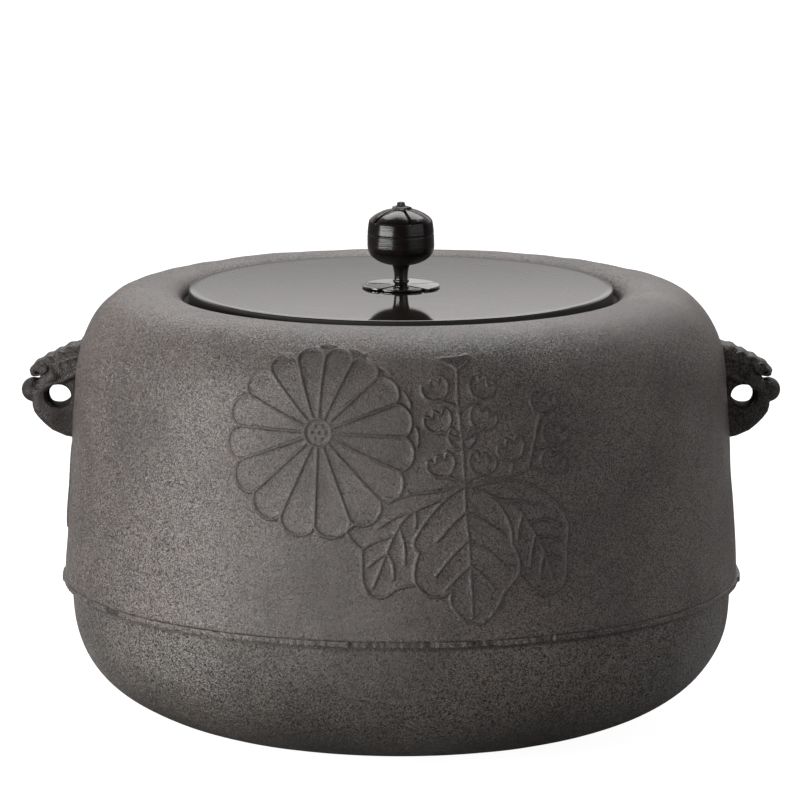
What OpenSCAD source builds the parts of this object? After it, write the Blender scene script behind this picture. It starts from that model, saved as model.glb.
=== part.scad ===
// A wide-mouthed cast-iron tea kettle with a dropped bronze lid.
// The frame has +Z up and its origin in the middle of the base. The lugs lie on the X axis,
// and the side that is seen first looks towards -Y.

/* [Body] */
// Diameter of the wall where it meets the flange
wall_foot_d = 269.2; // [262:0.2:284]
// Diameter of the wall where the shoulder begins
wall_top_d = 259.7; // [250:0.1:266]
// Height of the middle of the flange
flange_z = 58.9; // [50:0.1:70]
// Height at which the wall turns into the shoulder
shoulder_z = 138.1; // [132:0.1:146]
// Height of the crest of the shoulder, beside the mouth
crest_z = 174.3; // [170:0.1:186]
// Thickness of the cast wall
wall_t = 3.4; // [3:0.1:5]
// Thickness of the shoulder at its crest
crest_t = 3.8; // [3:0.1:6]

/* [Mouth] */
// Diameter of the mouth
mouth_d = 174; // [160:0.5:184]
// Width of the rounding that rolls from the crest into the mouth
roll_w = 11; // [6:0.5:13]
// Depth of that rounding
roll_h = 5; // [3:0.5:6]
// Width of the ledge that carries the lid
ledge_w = 7; // [5:0.5:10]
// Thickness of the ledge
ledge_t = 4; // [3:0.5:6]
// Thickness of the neck that hangs round the mouth and carries the ledge
neck_t = 4; // [3:0.1:6]

/* [Flange] */
// How far the flange stands out from the foot of the wall
flange_proud = 1.4; // [0.8:0.1:4]
// Thickness of the flange
flange_t = 3.4; // [2:0.1:6]

/* [Bottom] */
// Diameter of the flat base
base_d = 100; // [82:1:130]
// Thickness of the floor
floor_t = 3.8; // [3:0.1:6]
// How much smaller in radius the floor is than the base
floor_inset = 1; // [0:0.5:4]
// How much smaller in radius the bottom is than the foot of the wall
bottom_inset = 2.8; // [1.6:0.1:2.8]
// Height of the lap by which the bottom reaches up into the shell
lap_h = 12; // [8:0.5:16]
// Thickness of the putty in the lap
putty_t = 0.8; // [0.5:0.1:1.2]

/* [Lugs] */
// Height of the centre of the ring bore
lug_z = 131.5; // [126:0.5:135]
// Diameter of the ring bore
bore_d = 9; // [7:0.1:10]
// Least iron between the ring bore and the wall
bore_web = 1.3; // [1:0.1:2.5]
// Bevel at each end of the ring bore
bore_bevel = 0.8; // [0.4:0.1:1.2]
// Width across the cheeks, along the ring bore
cheek_w = 13; // [10:0.5:16]
// Diameter of the jaw
jaw_d = 26; // [22:0.5:28]
// Drop of the jaw's centre below the ring bore
jaw_drop = 3.5; // [2:0.5:5]
// How much nearer to the wall the jaw's centre lies than the ring bore
jaw_back = 2.5; // [1:0.5:4]
// Diameter of the nose
nose_d = 9.8; // [7:0.2:12]
// Reach of the nose beyond the wall
nose_reach = 21.3; // [18:0.1:24]
// Height of the nose above the ring bore
nose_rise = 1.6; // [0:0.2:4]
// Diameter of each eye
eye_d = 5.2; // [3:0.2:6]
// How far the centre of each eye lies outside the cheek
eye_out = 0.6; // [0.2:0.2:1.2]
// Thickness of the mane
mane_t = 8; // [6:0.2:10]
// Width of the mane
mane_w = 24; // [18:0.5:30]
// How much the mane stands out past its rounded tip, and the tip past the curls, at each side
mane_edge = 0.6; // [0.3:0.1:1]
// Reach of the mane's tip beyond the wall
mane_reach = 17.6; // [15:0.1:20]
// Height of the mane's tip above the ring bore
mane_tip_rise = 10.1; // [9:0.1:12]
// Height of the mane's root above the ring bore
mane_root_rise = 18.7; // [16:0.1:20]
// Diameter of each curl of the mane
curl_d = 4.6; // [3:0.2:6]
// How far the curls stand out of the mane
curl_proud = 0.8; // [0.4:0.1:1.2]
// Diameter of the pegs that root each lug in the wall
peg_d = 7; // [5:0.5:8]
// How far the pegs reach into the kettle, past the inside of the wall at its narrowest
peg_stub = 3; // [2:0.5:5]
// How far the pegs reach into the lug
peg_root = 4; // [2:0.5:6]
// Distance of each peg from the ring bore, up and down
peg_rise = 11.2; // [10.5:0.1:12]

/* [Lid] */
// Gap between the lid and the mouth all round
lid_gap = 2.5; // [1:0.1:4]
// Height of the lid's top above the crest
lid_proud = 0.1; // [-0.5:0.1:2]
// Thickness of the lid
lid_t = 2.4; // [1.6:0.2:3.4]
// Height of the lid's rim
lid_rim_h = 6; // [5:0.5:9]
// Thickness of the lid's rim
lid_rim_t = 3; // [2:0.5:4]
// Bevel round the lid's top edge
lid_bevel = 0.8; // [0.4:0.1:1.2]

/* [Knob] */
// Diameter of the petal seat
seat_d = 31; // [24:0.5:40]
// Thickness of the petal seat
seat_t = 1; // [0.6:0.1:2]
// Width of the slits between the petals
slit_w = 0.9; // [0.5:0.1:1.5]
// Diameter of the round corners at the outer ends of the slits
slit_round_d = 3.2; // [2:0.2:5]
// Diameter of the tang
tang_d = 4.4; // [3.6:0.1:4.8]
// Clearance between the tang and the lid, on the radius
tang_gap = 0.06; // [0.03:0.01:0.09]
// Play of the riveted knob along its axis
knob_play = 0.15; // [0.1:0.05:0.3]
// Height of the stem between the seat and the fruit
stem_h = 8.2; // [6:0.1:14]
// Diameter of the ring collar at the foot of the stem
collar_d = 6.4; // [5.8:0.1:8]
// Height of the ring collar
collar_h = 2; // [1.2:0.1:3]
// Bevel of the ring collar
collar_bevel = 0.4; // [0.2:0.1:0.5]
// Diameter of the stem at its neck
neck_d = 5.4; // [5:0.1:6]
// Diameter of the stem under the fruit
flare_d = 7.6; // [6.4:0.1:10]
// Diameter of the fruit
fruit_d = 26.8; // [22:0.2:34]
// Height of the fruit
fruit_h = 22.2; // [20:0.2:30]
// Height of the rounding under the fruit
fruit_low_h = 10; // [7:0.1:11]
// Height of the rounding at the top of the fruit
fruit_top_h = 9.8; // [8:0.1:12]
// Width of the grooves between the lobes
groove_w = 0.8; // [0.4:0.1:1.4]
// Depth of the grooves beside the cap
groove_depth = 1; // [0.5:0.1:1.6]
// How far the grooves run down the side of the fruit
groove_run = 1; // [1:0.5:4]
// Depth to which the tang is let into the fruit
tang_depth = 9; // [5:0.5:12]
// Diameter of the cap
cap_d = 8.4; // [6:0.2:11]
// Thickness of the cap
cap_t = 0.9; // [0.6:0.1:1.6]
// Diameter of the nub on the cap
nub_d = 3.2; // [2.4:0.1:4.4]
// Height of the nub
nub_h = 1.8; // [1:0.1:4]
// How much wider the nub is at its foot
nub_flare = 0.8; // [0.2:0.1:1.4]
// Diameter of the pin that holds the cap
cap_pin_d = 2; // [1.4:0.1:2.4]
// Length of the pin that holds the cap
cap_pin_h = 4; // [2:0.5:6]
// Diameter of the washer under the lid
washer_d = 14; // [10:0.5:20]
// Thickness of the washer
washer_t = 1; // [0.6:0.1:2]
// Diameter of the peened head
head_d = 7.6; // [6:0.1:9]
// Height of the peened head
head_h = 1.6; // [1:0.1:3]
// Bevel of the peened head
head_bevel = 0.8; // [0.4:0.1:1]

/* [Sounding plates] */
// Diameter of the ring on which the plates lie
plate_ring_d = 54; // [52:1:58]
// Length of each plate
plate_l = 26; // [18:0.5:27]
// Width of each plate
plate_w = 14; // [10:0.5:15]
// Thickness of each plate
plate_t = 1.8; // [1:0.1:3]
// Diameter of the putty pad under each plate
pad_d = 10; // [6:0.5:12]
// Thickness of the putty pad
pad_t = 1.2; // [0.8:0.1:2]
// Distance of the pad from the end of its plate
pad_inset = 1; // [0:0.5:3]

/* [Hidden] */
$fn = 64;
// How far a cut runs past the face that it opens
over = 1;
// Least upright wall between the ledge and the rounding above it
mouth_wall = 0.4;

// Sounding plates, lobes of the knob and curls of each mane, and where the first groove and slit lie
plate_count = 5;
lobe_count = 5;
lobe_turn = -73;
seat_turn = -52;
curl_count = 4;
// Straight steps that stand for each curve
pan_steps = 16;
shoulder_steps = 16;
roll_steps = 8;
fruit_steps = 10;
stem_steps = 6;

// Fullness of the curves of the shoulder, the bottom, the fruit and the stem
shoulder_nr = 0.74;
shoulder_nz = 1.134;
pan_nr = 0.863;
pan_nz = 0.749;
fruit_nr = 1.4;
fruit_nz = 0.7;
stem_nr = 1.4;

wall_foot_r = wall_foot_d / 2;
wall_top_r = wall_top_d / 2;
flange_r = wall_foot_r + flange_proud;
flange_top_z = flange_z + flange_t / 2;
flange_low_z = flange_z - flange_t / 2;
mouth_r = mouth_d / 2;
crest_r = mouth_r + roll_w;
throat_r = mouth_r - ledge_w;
neck_r = mouth_r + neck_t;

lid_r = mouth_r - lid_gap;
lid_top_z = crest_z + lid_proud;
lid_under_z = lid_top_z - lid_t;
ledge_z = lid_top_z - lid_rim_h;
roll_low_z = max(crest_z - roll_h, ledge_z + mouth_wall);

lap_r = wall_foot_r - wall_t;
lap_top_z = flange_low_z + lap_h;
spigot_r = lap_r - putty_t;
spigot_in_r = spigot_r - wall_t;
bottom_r = wall_foot_r - bottom_inset;
base_r = base_d / 2;

lug_wall_r = wall_r(lug_z);
bore_x = lug_wall_r + bore_web + bore_d / 2;
peg_in_x = wall_top_r - wall_t - peg_stub;
mane_tip_x = lug_wall_r + mane_reach - (mane_t + mane_edge) / 2;
mane_bead_w = mane_w - 2 * mane_edge;
mane_tip_z = lug_z + mane_tip_rise;
mane_root_x = lug_wall_r - wall_t;
mane_root_z = lug_z + mane_root_rise;
mane_run = norm([mane_tip_x - mane_root_x, mane_root_z - mane_tip_z]);
mane_slope = atan2(mane_root_z - mane_tip_z, mane_tip_x - mane_root_x);

tang_r = tang_d / 2;
seat_top_z = lid_top_z + seat_t;
fruit_z = seat_top_z + stem_h;
fruit_r = fruit_d / 2;
fruit_top_z = fruit_z + fruit_h;
washer_top_z = lid_under_z - knob_play;
washer_low_z = washer_top_z - washer_t;
cap_r = cap_d / 2;

// Radius of the outside of the wall at a height between the flange and the shoulder
function wall_r(z) = wall_top_r
    + (wall_foot_r - wall_top_r) * (shoulder_z - z) / (shoulder_z - flange_top_z);

// Points of a swelling curve that leaves (r0, z0) level and reaches (r1, z1) upright
function bow(r0, z0, r1, z1, nr, nz, steps) = [
    for (i = [0 : steps])
        let (t = 90 * i / steps)
        [r0 + (r1 - r0) * pow(sin(t), nr), z1 + (z0 - z1) * pow(cos(t), nz)]
];

// The points of a list in the other order
function turned(points) = [for (i = [len(points) - 1 : -1 : 0]) points[i]];

// The outside of the shell from the mouth to the flange
function shell_outside() = concat(
    [for (i = [0 : roll_steps - 1])
        let (t = 90 * i / roll_steps)
        [crest_r - roll_w * cos(t), roll_low_z + (crest_z - roll_low_z) * sin(t)]],
    bow(crest_r, crest_z, wall_top_r, shoulder_z, shoulder_nr, shoulder_nz, shoulder_steps),
    [[wall_foot_r, flange_top_z]]
);

// The inside of the shell from the lap up to the ledge
function shell_inside() = concat(
    [[lap_r, flange_low_z], [lap_r, lap_top_z], [wall_r(lap_top_z) - wall_t, lap_top_z]],
    turned(bow(crest_r - wall_t, crest_z - crest_t, wall_top_r - wall_t, shoulder_z,
        shoulder_nr, shoulder_nz, shoulder_steps)),
    [[neck_r, roll_low_z], [neck_r, ledge_z - ledge_t]],
    [[throat_r, ledge_z - ledge_t], [throat_r, ledge_z], [mouth_r, ledge_z]]
);

// Everything inside the outer skin of the shell, to fit the lugs to it
module shell_core() {
    rotate_extrude()
        polygon(concat([[0, flange_top_z], [0, crest_z]], shell_outside()));
}

// The two pegs that root a lug in the wall, on the +X side
module lug_pegs(reach) {
    for (rise = [-peg_rise, peg_rise])
        translate([peg_in_x, 0, lug_z + rise])
            rotate([0, 90, 0])
                cylinder(d = peg_d, h = lug_wall_r + reach - peg_in_x);
}

module kettle_shell() {
    color("#6f6761")
    difference() {
        rotate_extrude()
            polygon(concat(
                shell_outside(),
                [[flange_r, flange_top_z], [flange_r, flange_low_z]],
                shell_inside()
            ));
        for (side = [0, 1])
            mirror([side, 0, 0])
                translate([-over, 0, 0])
                    lug_pegs(2 * over + peg_root);
    }
}

module kettle_bottom() {
    color("#5d5954")
    rotate_extrude()
        polygon(concat(
            [[0, 0]],
            bow(base_r, 0, bottom_r, flange_low_z, pan_nr, pan_nz, pan_steps),
            [[spigot_r, flange_low_z], [spigot_r, lap_top_z], [spigot_in_r, lap_top_z]],
            turned(bow(base_r - floor_inset, floor_t, spigot_in_r, flange_low_z, pan_nr, pan_nz, pan_steps)),
            [[0, floor_t]]
        ));
}

module seam_putty() {
    color("#2e2a27")
    translate([0, 0, flange_low_z])
        difference() {
            cylinder(r = lap_r, h = lap_h);
            translate([0, 0, -over])
                cylinder(r = spigot_r, h = lap_h + 2 * over);
        }
}

// A bar across the lug, along Y, at a place in the XZ plane
module cross_bar(x, z, d, w) {
    translate([x, 0, z])
        rotate([90, 0, 0])
            cylinder(d = d, h = w, center = true);
}

// The mane: a sloping slab with a round tip and a row of curls along its top
module mane() {
    cross_bar(mane_tip_x, mane_tip_z, mane_t + mane_edge, mane_bead_w);
    translate([mane_tip_x, 0, mane_tip_z])
        rotate([0, mane_slope, 0])
            translate([-mane_run - wall_t, -mane_w / 2, -mane_t / 2])
                cube([mane_run + wall_t, mane_w, mane_t]);
    for (i = [0 : curl_count - 1])
        translate([mane_tip_x, 0, mane_tip_z])
            rotate([0, mane_slope, 0])
                translate([-i * mane_run / curl_count, 0, (mane_t - curl_d) / 2 + curl_proud])
                    rotate([90, 0, 0])
                        cylinder(d = curl_d, h = mane_bead_w - 2 * mane_edge, center = true);
}

// A beast-mask lug on the +X side: jaw, cheeks, nose, eyes and mane round the ring bore
module lug() {
    difference() {
        union() {
            cross_bar(bore_x - jaw_back, lug_z - jaw_drop, jaw_d, cheek_w);
            mane();
            translate([lug_wall_r + nose_reach - nose_d / 2, 0, lug_z + nose_rise])
                sphere(d = nose_d);
            for (side = [-1, 1])
                translate([mane_tip_x - eye_out, side * (cheek_w / 2 + eye_out), mane_tip_z - mane_t / 2])
                    sphere(d = eye_d);
        }
        cross_bar(bore_x, lug_z, bore_d, mane_w + 2 * over);
        for (side = [0, 1])
            mirror([0, side, 0])
                translate([bore_x, cheek_w / 2 - bore_bevel, lug_z])
                    rotate([-90, 0, 0])
                        cylinder(d1 = bore_d, d2 = bore_d + 4 * bore_bevel, h = 2 * bore_bevel);
        shell_core();
    }
    difference() {
        lug_pegs(peg_root);
        cross_bar(bore_x, lug_z, bore_d, mane_w + 2 * over);
    }
}

module lug_right() {
    color("#4a4643")
    lug();
}

module lug_left() {
    color("#4a4643")
    mirror([1, 0, 0])
        lug();
}

module lid_plate() {
    color("#7d7a74")
    rotate_extrude()
        polygon([
            [tang_r + tang_gap, lid_under_z],
            [lid_r - lid_rim_t, lid_under_z],
            [lid_r - lid_rim_t, ledge_z],
            [lid_r, ledge_z],
            [lid_r, lid_top_z - lid_bevel],
            [lid_r - lid_bevel, lid_top_z],
            [tang_r + tang_gap, lid_top_z]
        ]);
}

module knob_seat() {
    color("#6a6258")
    translate([0, 0, lid_top_z])
        difference() {
            cylinder(d = seat_d, h = seat_t);
            translate([0, 0, -over])
                cylinder(r = tang_r, h = seat_t + 2 * over);
            for (i = [0 : lobe_count - 1])
                rotate([0, 0, seat_turn + i * 360 / lobe_count]) {
                    translate([collar_d, -slit_w / 2, -over])
                        cube([seat_d, slit_w, seat_t + 2 * over]);
                    translate([seat_d / 2, 0, -over])
                        cylinder(d = slit_round_d, h = seat_t + 2 * over, $fn = 32);
                }
        }
}

module knob_stem() {
    color("#3a3532")
    rotate_extrude()
        polygon(concat(
            [
                [0, washer_low_z - head_h],
                [head_d / 2 - head_bevel, washer_low_z - head_h],
                [head_d / 2, washer_low_z - head_h + head_bevel],
                [head_d / 2, washer_low_z],
                [tang_r, washer_low_z],
                [tang_r, seat_top_z],
                [collar_d / 2 - collar_bevel, seat_top_z],
                [collar_d / 2, seat_top_z + collar_bevel],
                [collar_d / 2, seat_top_z + collar_h - collar_bevel],
                [collar_d / 2 - collar_bevel, seat_top_z + collar_h]
            ],
            turned(bow(flare_d / 2, fruit_z, neck_d / 2, seat_top_z + collar_h, stem_nr, 1, stem_steps)),
            [[tang_r, fruit_z], [tang_r, fruit_z + tang_depth]],
            [[0, fruit_z + tang_depth]]
        ));
}

// The blade that cuts one groove into the top of the fruit and runs out on its side
module groove_blade() {
    rotate([90, 0, 0])
        linear_extrude(height = groove_w, center = true)
            polygon(concat(
                bow(cap_r, fruit_top_z - groove_depth, fruit_r + groove_w / 2,
                    fruit_top_z - fruit_top_h - groove_run, fruit_nr, fruit_nz, fruit_steps),
                [[fruit_r + over, fruit_top_z + over], [cap_r, fruit_top_z + over]]
            ));
}

module knob_fruit() {
    color("#1f1b19")
    difference() {
        rotate_extrude()
            polygon(concat(
                [[0, fruit_z]],
                bow(flare_d / 2, fruit_z, fruit_r, fruit_z + fruit_low_h, fruit_nr, fruit_nz, fruit_steps),
                turned(bow(cap_r, fruit_top_z, fruit_r, fruit_top_z - fruit_top_h,
                    fruit_nr, fruit_nz, fruit_steps)),
                [[0, fruit_top_z]]
            ));
        translate([0, 0, fruit_z - over])
            cylinder(r = tang_r, h = tang_depth + over);
        translate([0, 0, fruit_top_z - cap_pin_h])
            cylinder(d = cap_pin_d, h = cap_pin_h + over, $fn = 32);
        for (i = [0 : lobe_count - 1])
            rotate([0, 0, lobe_turn + i * 360 / lobe_count])
                groove_blade();
    }
}

module knob_cap() {
    color("#3f3832")
    translate([0, 0, fruit_top_z]) {
        cylinder(d = cap_d, h = cap_t);
        translate([0, 0, -cap_pin_h])
            cylinder(d = cap_pin_d, h = cap_pin_h + cap_t, $fn = 32);
        translate([0, 0, cap_t])
            cylinder(d1 = nub_d + nub_flare, d2 = nub_d, h = nub_h, $fn = 32);
    }
}

module knob_washer() {
    color("#8a6a3c")
    translate([0, 0, washer_low_z])
        difference() {
            cylinder(d = washer_d, h = washer_t);
            translate([0, 0, -over])
                cylinder(r = tang_r, h = washer_t + 2 * over);
        }
}

// Puts its children at the place of one sounding plate, on the floor
module at_plate(i) {
    rotate([0, 0, i * 360 / plate_count])
        translate([plate_ring_d / 2, 0, floor_t])
            children();
}

module sounding_plate(i) {
    color("#57514c")
    at_plate(i)
        translate([-plate_w / 2, -plate_l / 2, pad_t])
            cube([plate_w, plate_l, plate_t]);
}

module plate_putty(i) {
    color("#2e2a27")
    at_plate(i)
        translate([0, (pad_d - plate_l) / 2 + pad_inset, 0])
            cylinder(d = pad_d, h = pad_t);
}

kettle_shell();
kettle_bottom();
seam_putty();
lug_left();
lug_right();
lid_plate();
knob_seat();
knob_stem();
knob_fruit();
knob_cap();
knob_washer();
for (i = [1 : plate_count])
    sounding_plate(i);
for (i = [1 : plate_count])
    plate_putty(i);
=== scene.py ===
"""A wide-mouthed cast-iron tea kettle with a dropped bronze lid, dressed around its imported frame."""

import math

import bpy
import numpy as np
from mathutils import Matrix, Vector


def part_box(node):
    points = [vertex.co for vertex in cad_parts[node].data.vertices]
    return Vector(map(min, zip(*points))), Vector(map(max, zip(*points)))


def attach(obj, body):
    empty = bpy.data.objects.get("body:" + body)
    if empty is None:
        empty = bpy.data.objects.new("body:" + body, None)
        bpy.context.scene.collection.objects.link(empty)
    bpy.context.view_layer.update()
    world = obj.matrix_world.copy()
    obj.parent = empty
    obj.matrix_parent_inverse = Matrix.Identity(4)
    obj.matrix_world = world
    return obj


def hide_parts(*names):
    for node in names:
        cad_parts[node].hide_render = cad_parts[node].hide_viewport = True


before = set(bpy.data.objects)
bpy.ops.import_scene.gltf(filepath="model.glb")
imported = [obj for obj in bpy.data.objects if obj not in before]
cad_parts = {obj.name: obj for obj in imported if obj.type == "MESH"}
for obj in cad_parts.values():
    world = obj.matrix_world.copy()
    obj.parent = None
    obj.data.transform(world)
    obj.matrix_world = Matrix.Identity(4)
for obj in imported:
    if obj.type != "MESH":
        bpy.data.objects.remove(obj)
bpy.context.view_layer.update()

# The studio: a long lens a little above the lid, a wide low soft box at the left, a dim one in front at the
# right, one above and behind, a room that is bright behind, and a pale floor. None of it belongs to the kettle.
CAMERA_PLACE = (-0.0004, -2.1779, 0.5164)
CAMERA_TILT = 79.904
CAMERA_LENS = 249.05
CAMERA_FAR = 60.0
SOFT_BOXES = {
    "side_box": {"place": (-1.33, -0.87, 0.21), "size": (1.7, 0.40), "power": 34.5},
    "front_box": {"place": (2.00, -1.35, 0.75), "size": (2.4, 1.6), "power": 13.0},
    "top_box": {"place": (0.05, 0.80, 1.35), "size": (1.4, 0.8), "power": 21.0},
}
LIT_POINT = Vector((0.0, 0.0, 0.10))
WHITE = (1.0, 1.0, 1.0, 1.0)
ROOM_WARM = (1.03, 1.0, 0.985, 1.0)
ROOM_SHADES = (
    ("Y", -0.1, 0.75, 0.11, 1.0),  # dim in front, bright behind
    ("Z", 0.146, 0.164, 0.33, 1.0),  # darker towards the floor
    ("Z", 0.30, 0.62, 1.0, 0.35),  # darker towards the ceiling
    ("X", -0.08, 0.08, 0.96, 1.04),  # a little brighter at the right
)
FLOOR_REACH = 9.0
FLOOR_GREY = (0.28, 0.28, 0.28, 1.0)
FLOOR_DULL = 0.9
FLOOR_GLOW = 0.95

scene = bpy.context.scene
scene.view_settings.view_transform = "Standard"

lens = bpy.data.cameras.new("studio_camera")
lens.lens = CAMERA_LENS
lens.clip_end = CAMERA_FAR
camera = bpy.data.objects.new("studio_camera", lens)
camera.location = CAMERA_PLACE
camera.rotation_euler = (math.radians(CAMERA_TILT), 0.0, 0.0)
scene.collection.objects.link(camera)
scene.camera = camera

for box_name, box in SOFT_BOXES.items():
    lamp = bpy.data.lights.new(box_name, "AREA")
    lamp.shape = "RECTANGLE"
    lamp.size, lamp.size_y = box["size"]
    lamp.energy = box["power"]
    held = bpy.data.objects.new(box_name, lamp)
    held.location = box["place"]
    held.rotation_euler = (LIT_POINT - Vector(box["place"])).to_track_quat("-Z", "Y").to_euler()
    held.visible_camera = False
    scene.collection.objects.link(held)


def feed(tree, node, feeds):
    """Feeds inputs of a shader node with values or with other sockets."""
    for title, value in feeds.items():
        if isinstance(value, bpy.types.NodeSocket):
            tree.links.new(value, node.inputs[title])
        else:
            node.inputs[title].default_value = value


def wire(tree, kind, feeds=None, **settings):
    """The outputs of a new shader node, with its settings made and its inputs fed."""
    made = tree.nodes.new(kind)
    for title, value in settings.items():
        setattr(made, title, value)
    feed(tree, made, feeds or {})
    return made.outputs


def tree_of(*terms):
    """The node tree of the first socket among some terms."""
    return next(term.id_data for term in terms if isinstance(term, bpy.types.NodeSocket))


def reckon(operation, *terms):
    """A value reckoned from one, two or three terms."""
    return wire(tree_of(*terms), "ShaderNodeMath", dict(enumerate(terms)), operation=operation)[0]


def eased(value, low, high, at_low=0.0, at_high=1.0):
    """A value that runs smoothly from at_low to at_high as another goes from low to high."""
    feeds = {"Value": value, "From Min": low, "From Max": high, "To Min": at_low, "To Max": at_high}
    return wire(tree_of(value), "ShaderNodeMapRange", feeds, interpolation_type="SMOOTHSTEP")[0]


def between(share, first, second):
    """A value that goes from first to second as a share goes from 0 to 1."""
    return wire(tree_of(share), "ShaderNodeMix", {0: share, 2: first, 3: second})[0]


def mixed(share, first, second, blend_type="MIX"):
    """A colour that goes from first to second as a share goes from 0 to 1."""
    feeds = {0: share, 6: first, 7: second}
    tree = tree_of(share, first, second)
    return wire(tree, "ShaderNodeMix", feeds, data_type="RGBA", blend_type=blend_type)[2]


room = bpy.data.worlds.new("studio_room")
scene.world = room
room.use_nodes = True
room_tree = room.node_tree
room_tree.nodes.clear()
direction = wire(room_tree, "ShaderNodeTexCoord")["Generated"]
heading = wire(room_tree, "ShaderNodeSeparateXYZ", {0: direction})
room_light = 1.0
for axis, start, end, at_start, at_end in ROOM_SHADES:
    shade = eased(heading[axis], start, end, at_start, at_end)
    room_light = reckon("MULTIPLY", room_light, shade)
seen_by_lens = wire(room_tree, "ShaderNodeLightPath")["Is Camera Ray"]
room_feeds = {"Color": mixed(seen_by_lens, ROOM_WARM, WHITE),
              "Strength": between(seen_by_lens, room_light, 1.0)}
wire(room_tree, "ShaderNodeOutputWorld", {"Surface": wire(room_tree, "ShaderNodeBackground", room_feeds)[0]})


def new_material(name):
    """A new material, its node tree and its shader."""
    material = bpy.data.materials.new(name)
    material.use_nodes = True
    return material, material.node_tree, material.node_tree.nodes["Principled BSDF"]


floor_mesh = bpy.data.meshes.new("studio_floor")
floor_corners = [(x * FLOOR_REACH, y * FLOOR_REACH, 0.0) for x, y in ((-1, -1), (1, -1), (1, 1), (-1, 1))]
floor_mesh.from_pydata(floor_corners, [], [(0, 1, 2, 3)])
floor = bpy.data.objects.new("studio_floor", floor_mesh)
scene.collection.objects.link(floor)
floor_paint, floor_tree, floor_shader = new_material("floor_paint")
floor_ray = wire(floor_tree, "ShaderNodeLightPath")["Is Camera Ray"]
feed(floor_tree, floor_shader, {
    "Base Color": FLOOR_GREY, "Roughness": FLOOR_DULL, "Emission Color": WHITE,
    "Emission Strength": reckon("MULTIPLY", floor_ray, FLOOR_GLOW),
})
floor_mesh.materials.append(floor_paint)

# The bottom: the lower pan of the kettle, a separate thin casting in coarse sand with a flat base.
# Its upright rim is let up into the shell and puttied there, so only the curve below the flange shows.
MM = 0.001


def box_of(node):
    """The low and the high corner of a CAD node's box, in millimetres."""
    return [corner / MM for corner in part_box(node)]


bottom_high = box_of("kettle_bottom")[1]
shell_low, shell_high = box_of("kettle_shell")
BOTTOM_R = bottom_high.x
LAP_TOP_Z = bottom_high.z
FLANGE_LOW_Z = shell_low.z
BASE_R = 50.0
BASE_INSET = 1.0
CENTRE_R = 4.0
RIM_R = 130.4
CAST_T = 3.4
FLOOR_T = 3.8
PAN_NR = 0.863
PAN_NZ = 0.749
BOTTOM_COLUMNS = 288
BOTTOM_EASE = 1.2
BOTTOM_STEP = 3.0
BOTTOM_UNEVEN = 0.25
BOTTOM_WAVE = 40.0
UNEVEN_FROM_Z, UNEVEN_BELOW_RIM = 4.5, 3.0
FLANGE_SHADE = 0.6
FLANGE_SHADE_Z = (0.0546, 0.0557)
INSIDE_SOOT = 0.6
# Soot on inner faces; the same dark colour is also used for painted shade under the flange, in the seam crease
# and on the shoulder.
SOOT_AND_SHADE = (0.012, 0.008, 0.006, 1.0)
SOOT_DULL = 0.95


def bow(r0, z0, r1, z1, nr, nz, steps):
    """Points of a swelling curve that leaves (r0, z0) level and reaches (r1, z1) upright."""
    turn = np.linspace(0.0, math.pi / 2, steps + 1)
    sine, cosine = np.sin(turn), np.cos(turn).clip(0.0)
    return np.stack([r0 + (r1 - r0) * sine ** nr, z1 + (z0 - z1) * cosine ** nz], 1)


def rounded(outline, ease, ring=True, steps=4):
    """An outline with its corners rounded off, each over the length ease at most."""
    outline = np.asarray(outline, float)
    made = []
    for i, corner in enumerate(outline):
        if not ring and i in (0, len(outline) - 1):
            made.append(corner)
            continue
        back = outline[i - 1] - corner
        ahead = outline[(i + 1) % len(outline)] - corner
        back_run, ahead_run = np.hypot(*back), np.hypot(*ahead)
        straight = -(back @ ahead) / (back_run * ahead_run)
        if straight > 0.97:
            made.append(corner)
            continue
        start = corner + back * min(ease / back_run, 0.45)
        end = corner + ahead * min(ease / ahead_run, 0.45)
        for t in np.linspace(0.0, 1.0, steps + 1):
            made.append((1 - t) ** 2 * start + 2 * t * (1 - t) * corner + t ** 2 * end)
    return np.array(made)


def spaced(line, step):
    """A line with points added so that none lie further apart than step."""
    line = np.asarray(line, float)
    made = [line[:1]]
    for start, end in zip(line[:-1], line[1:]):
        count = max(1, math.ceil(np.hypot(*(end - start)) / step))
        made.append(start + (end - start) * np.arange(1, count + 1)[:, None] / count)
    return np.concatenate(made)


def turned(radius, height, ring=True, turn=None):
    """Points and faces of a turned form, with one row of points for each place on its outline.
    An outline that isn't a ring is closed on the axis at both ends.
    Turn is the angle of each column, if they aren't even."""
    rows, columns = radius.shape
    if turn is None:
        turn = np.arange(columns) * 2 * math.pi / columns
    points = np.stack([radius * np.sin(turn), -radius * np.cos(turn), height], -1).reshape(-1, 3)
    row = np.arange(rows if ring else rows - 1)[:, None]
    column = np.arange(columns)[None, :]

    def at(i, j):
        return (i % rows) * columns + j % columns

    corners = (at(row, column), at(row, column + 1), at(row + 1, column + 1), at(row + 1, column))
    quads = np.stack(corners, -1).reshape(-1, 4)
    if ring:
        return points, [quads]
    poles = [(0.0, 0.0, height[0].mean()), (0.0, 0.0, height[-1].mean())]
    first, last = rows * columns, rows * columns + 1
    near, far = at(0, column[0]), at(rows - 1, column[0])
    low_fan = np.stack([np.full(columns, first), np.roll(near, -1), near], -1)
    high_fan = np.stack([np.full(columns, last), far, np.roll(far, -1)], -1)
    return np.concatenate([points, poles]), [quads, low_fan, high_fan]


def even_rows(outline, columns):
    """The radius and height of every point of a turned form that is the same all round."""
    return (np.repeat(outline[:, axis:axis + 1], columns, 1) for axis in (0, 1))


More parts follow.
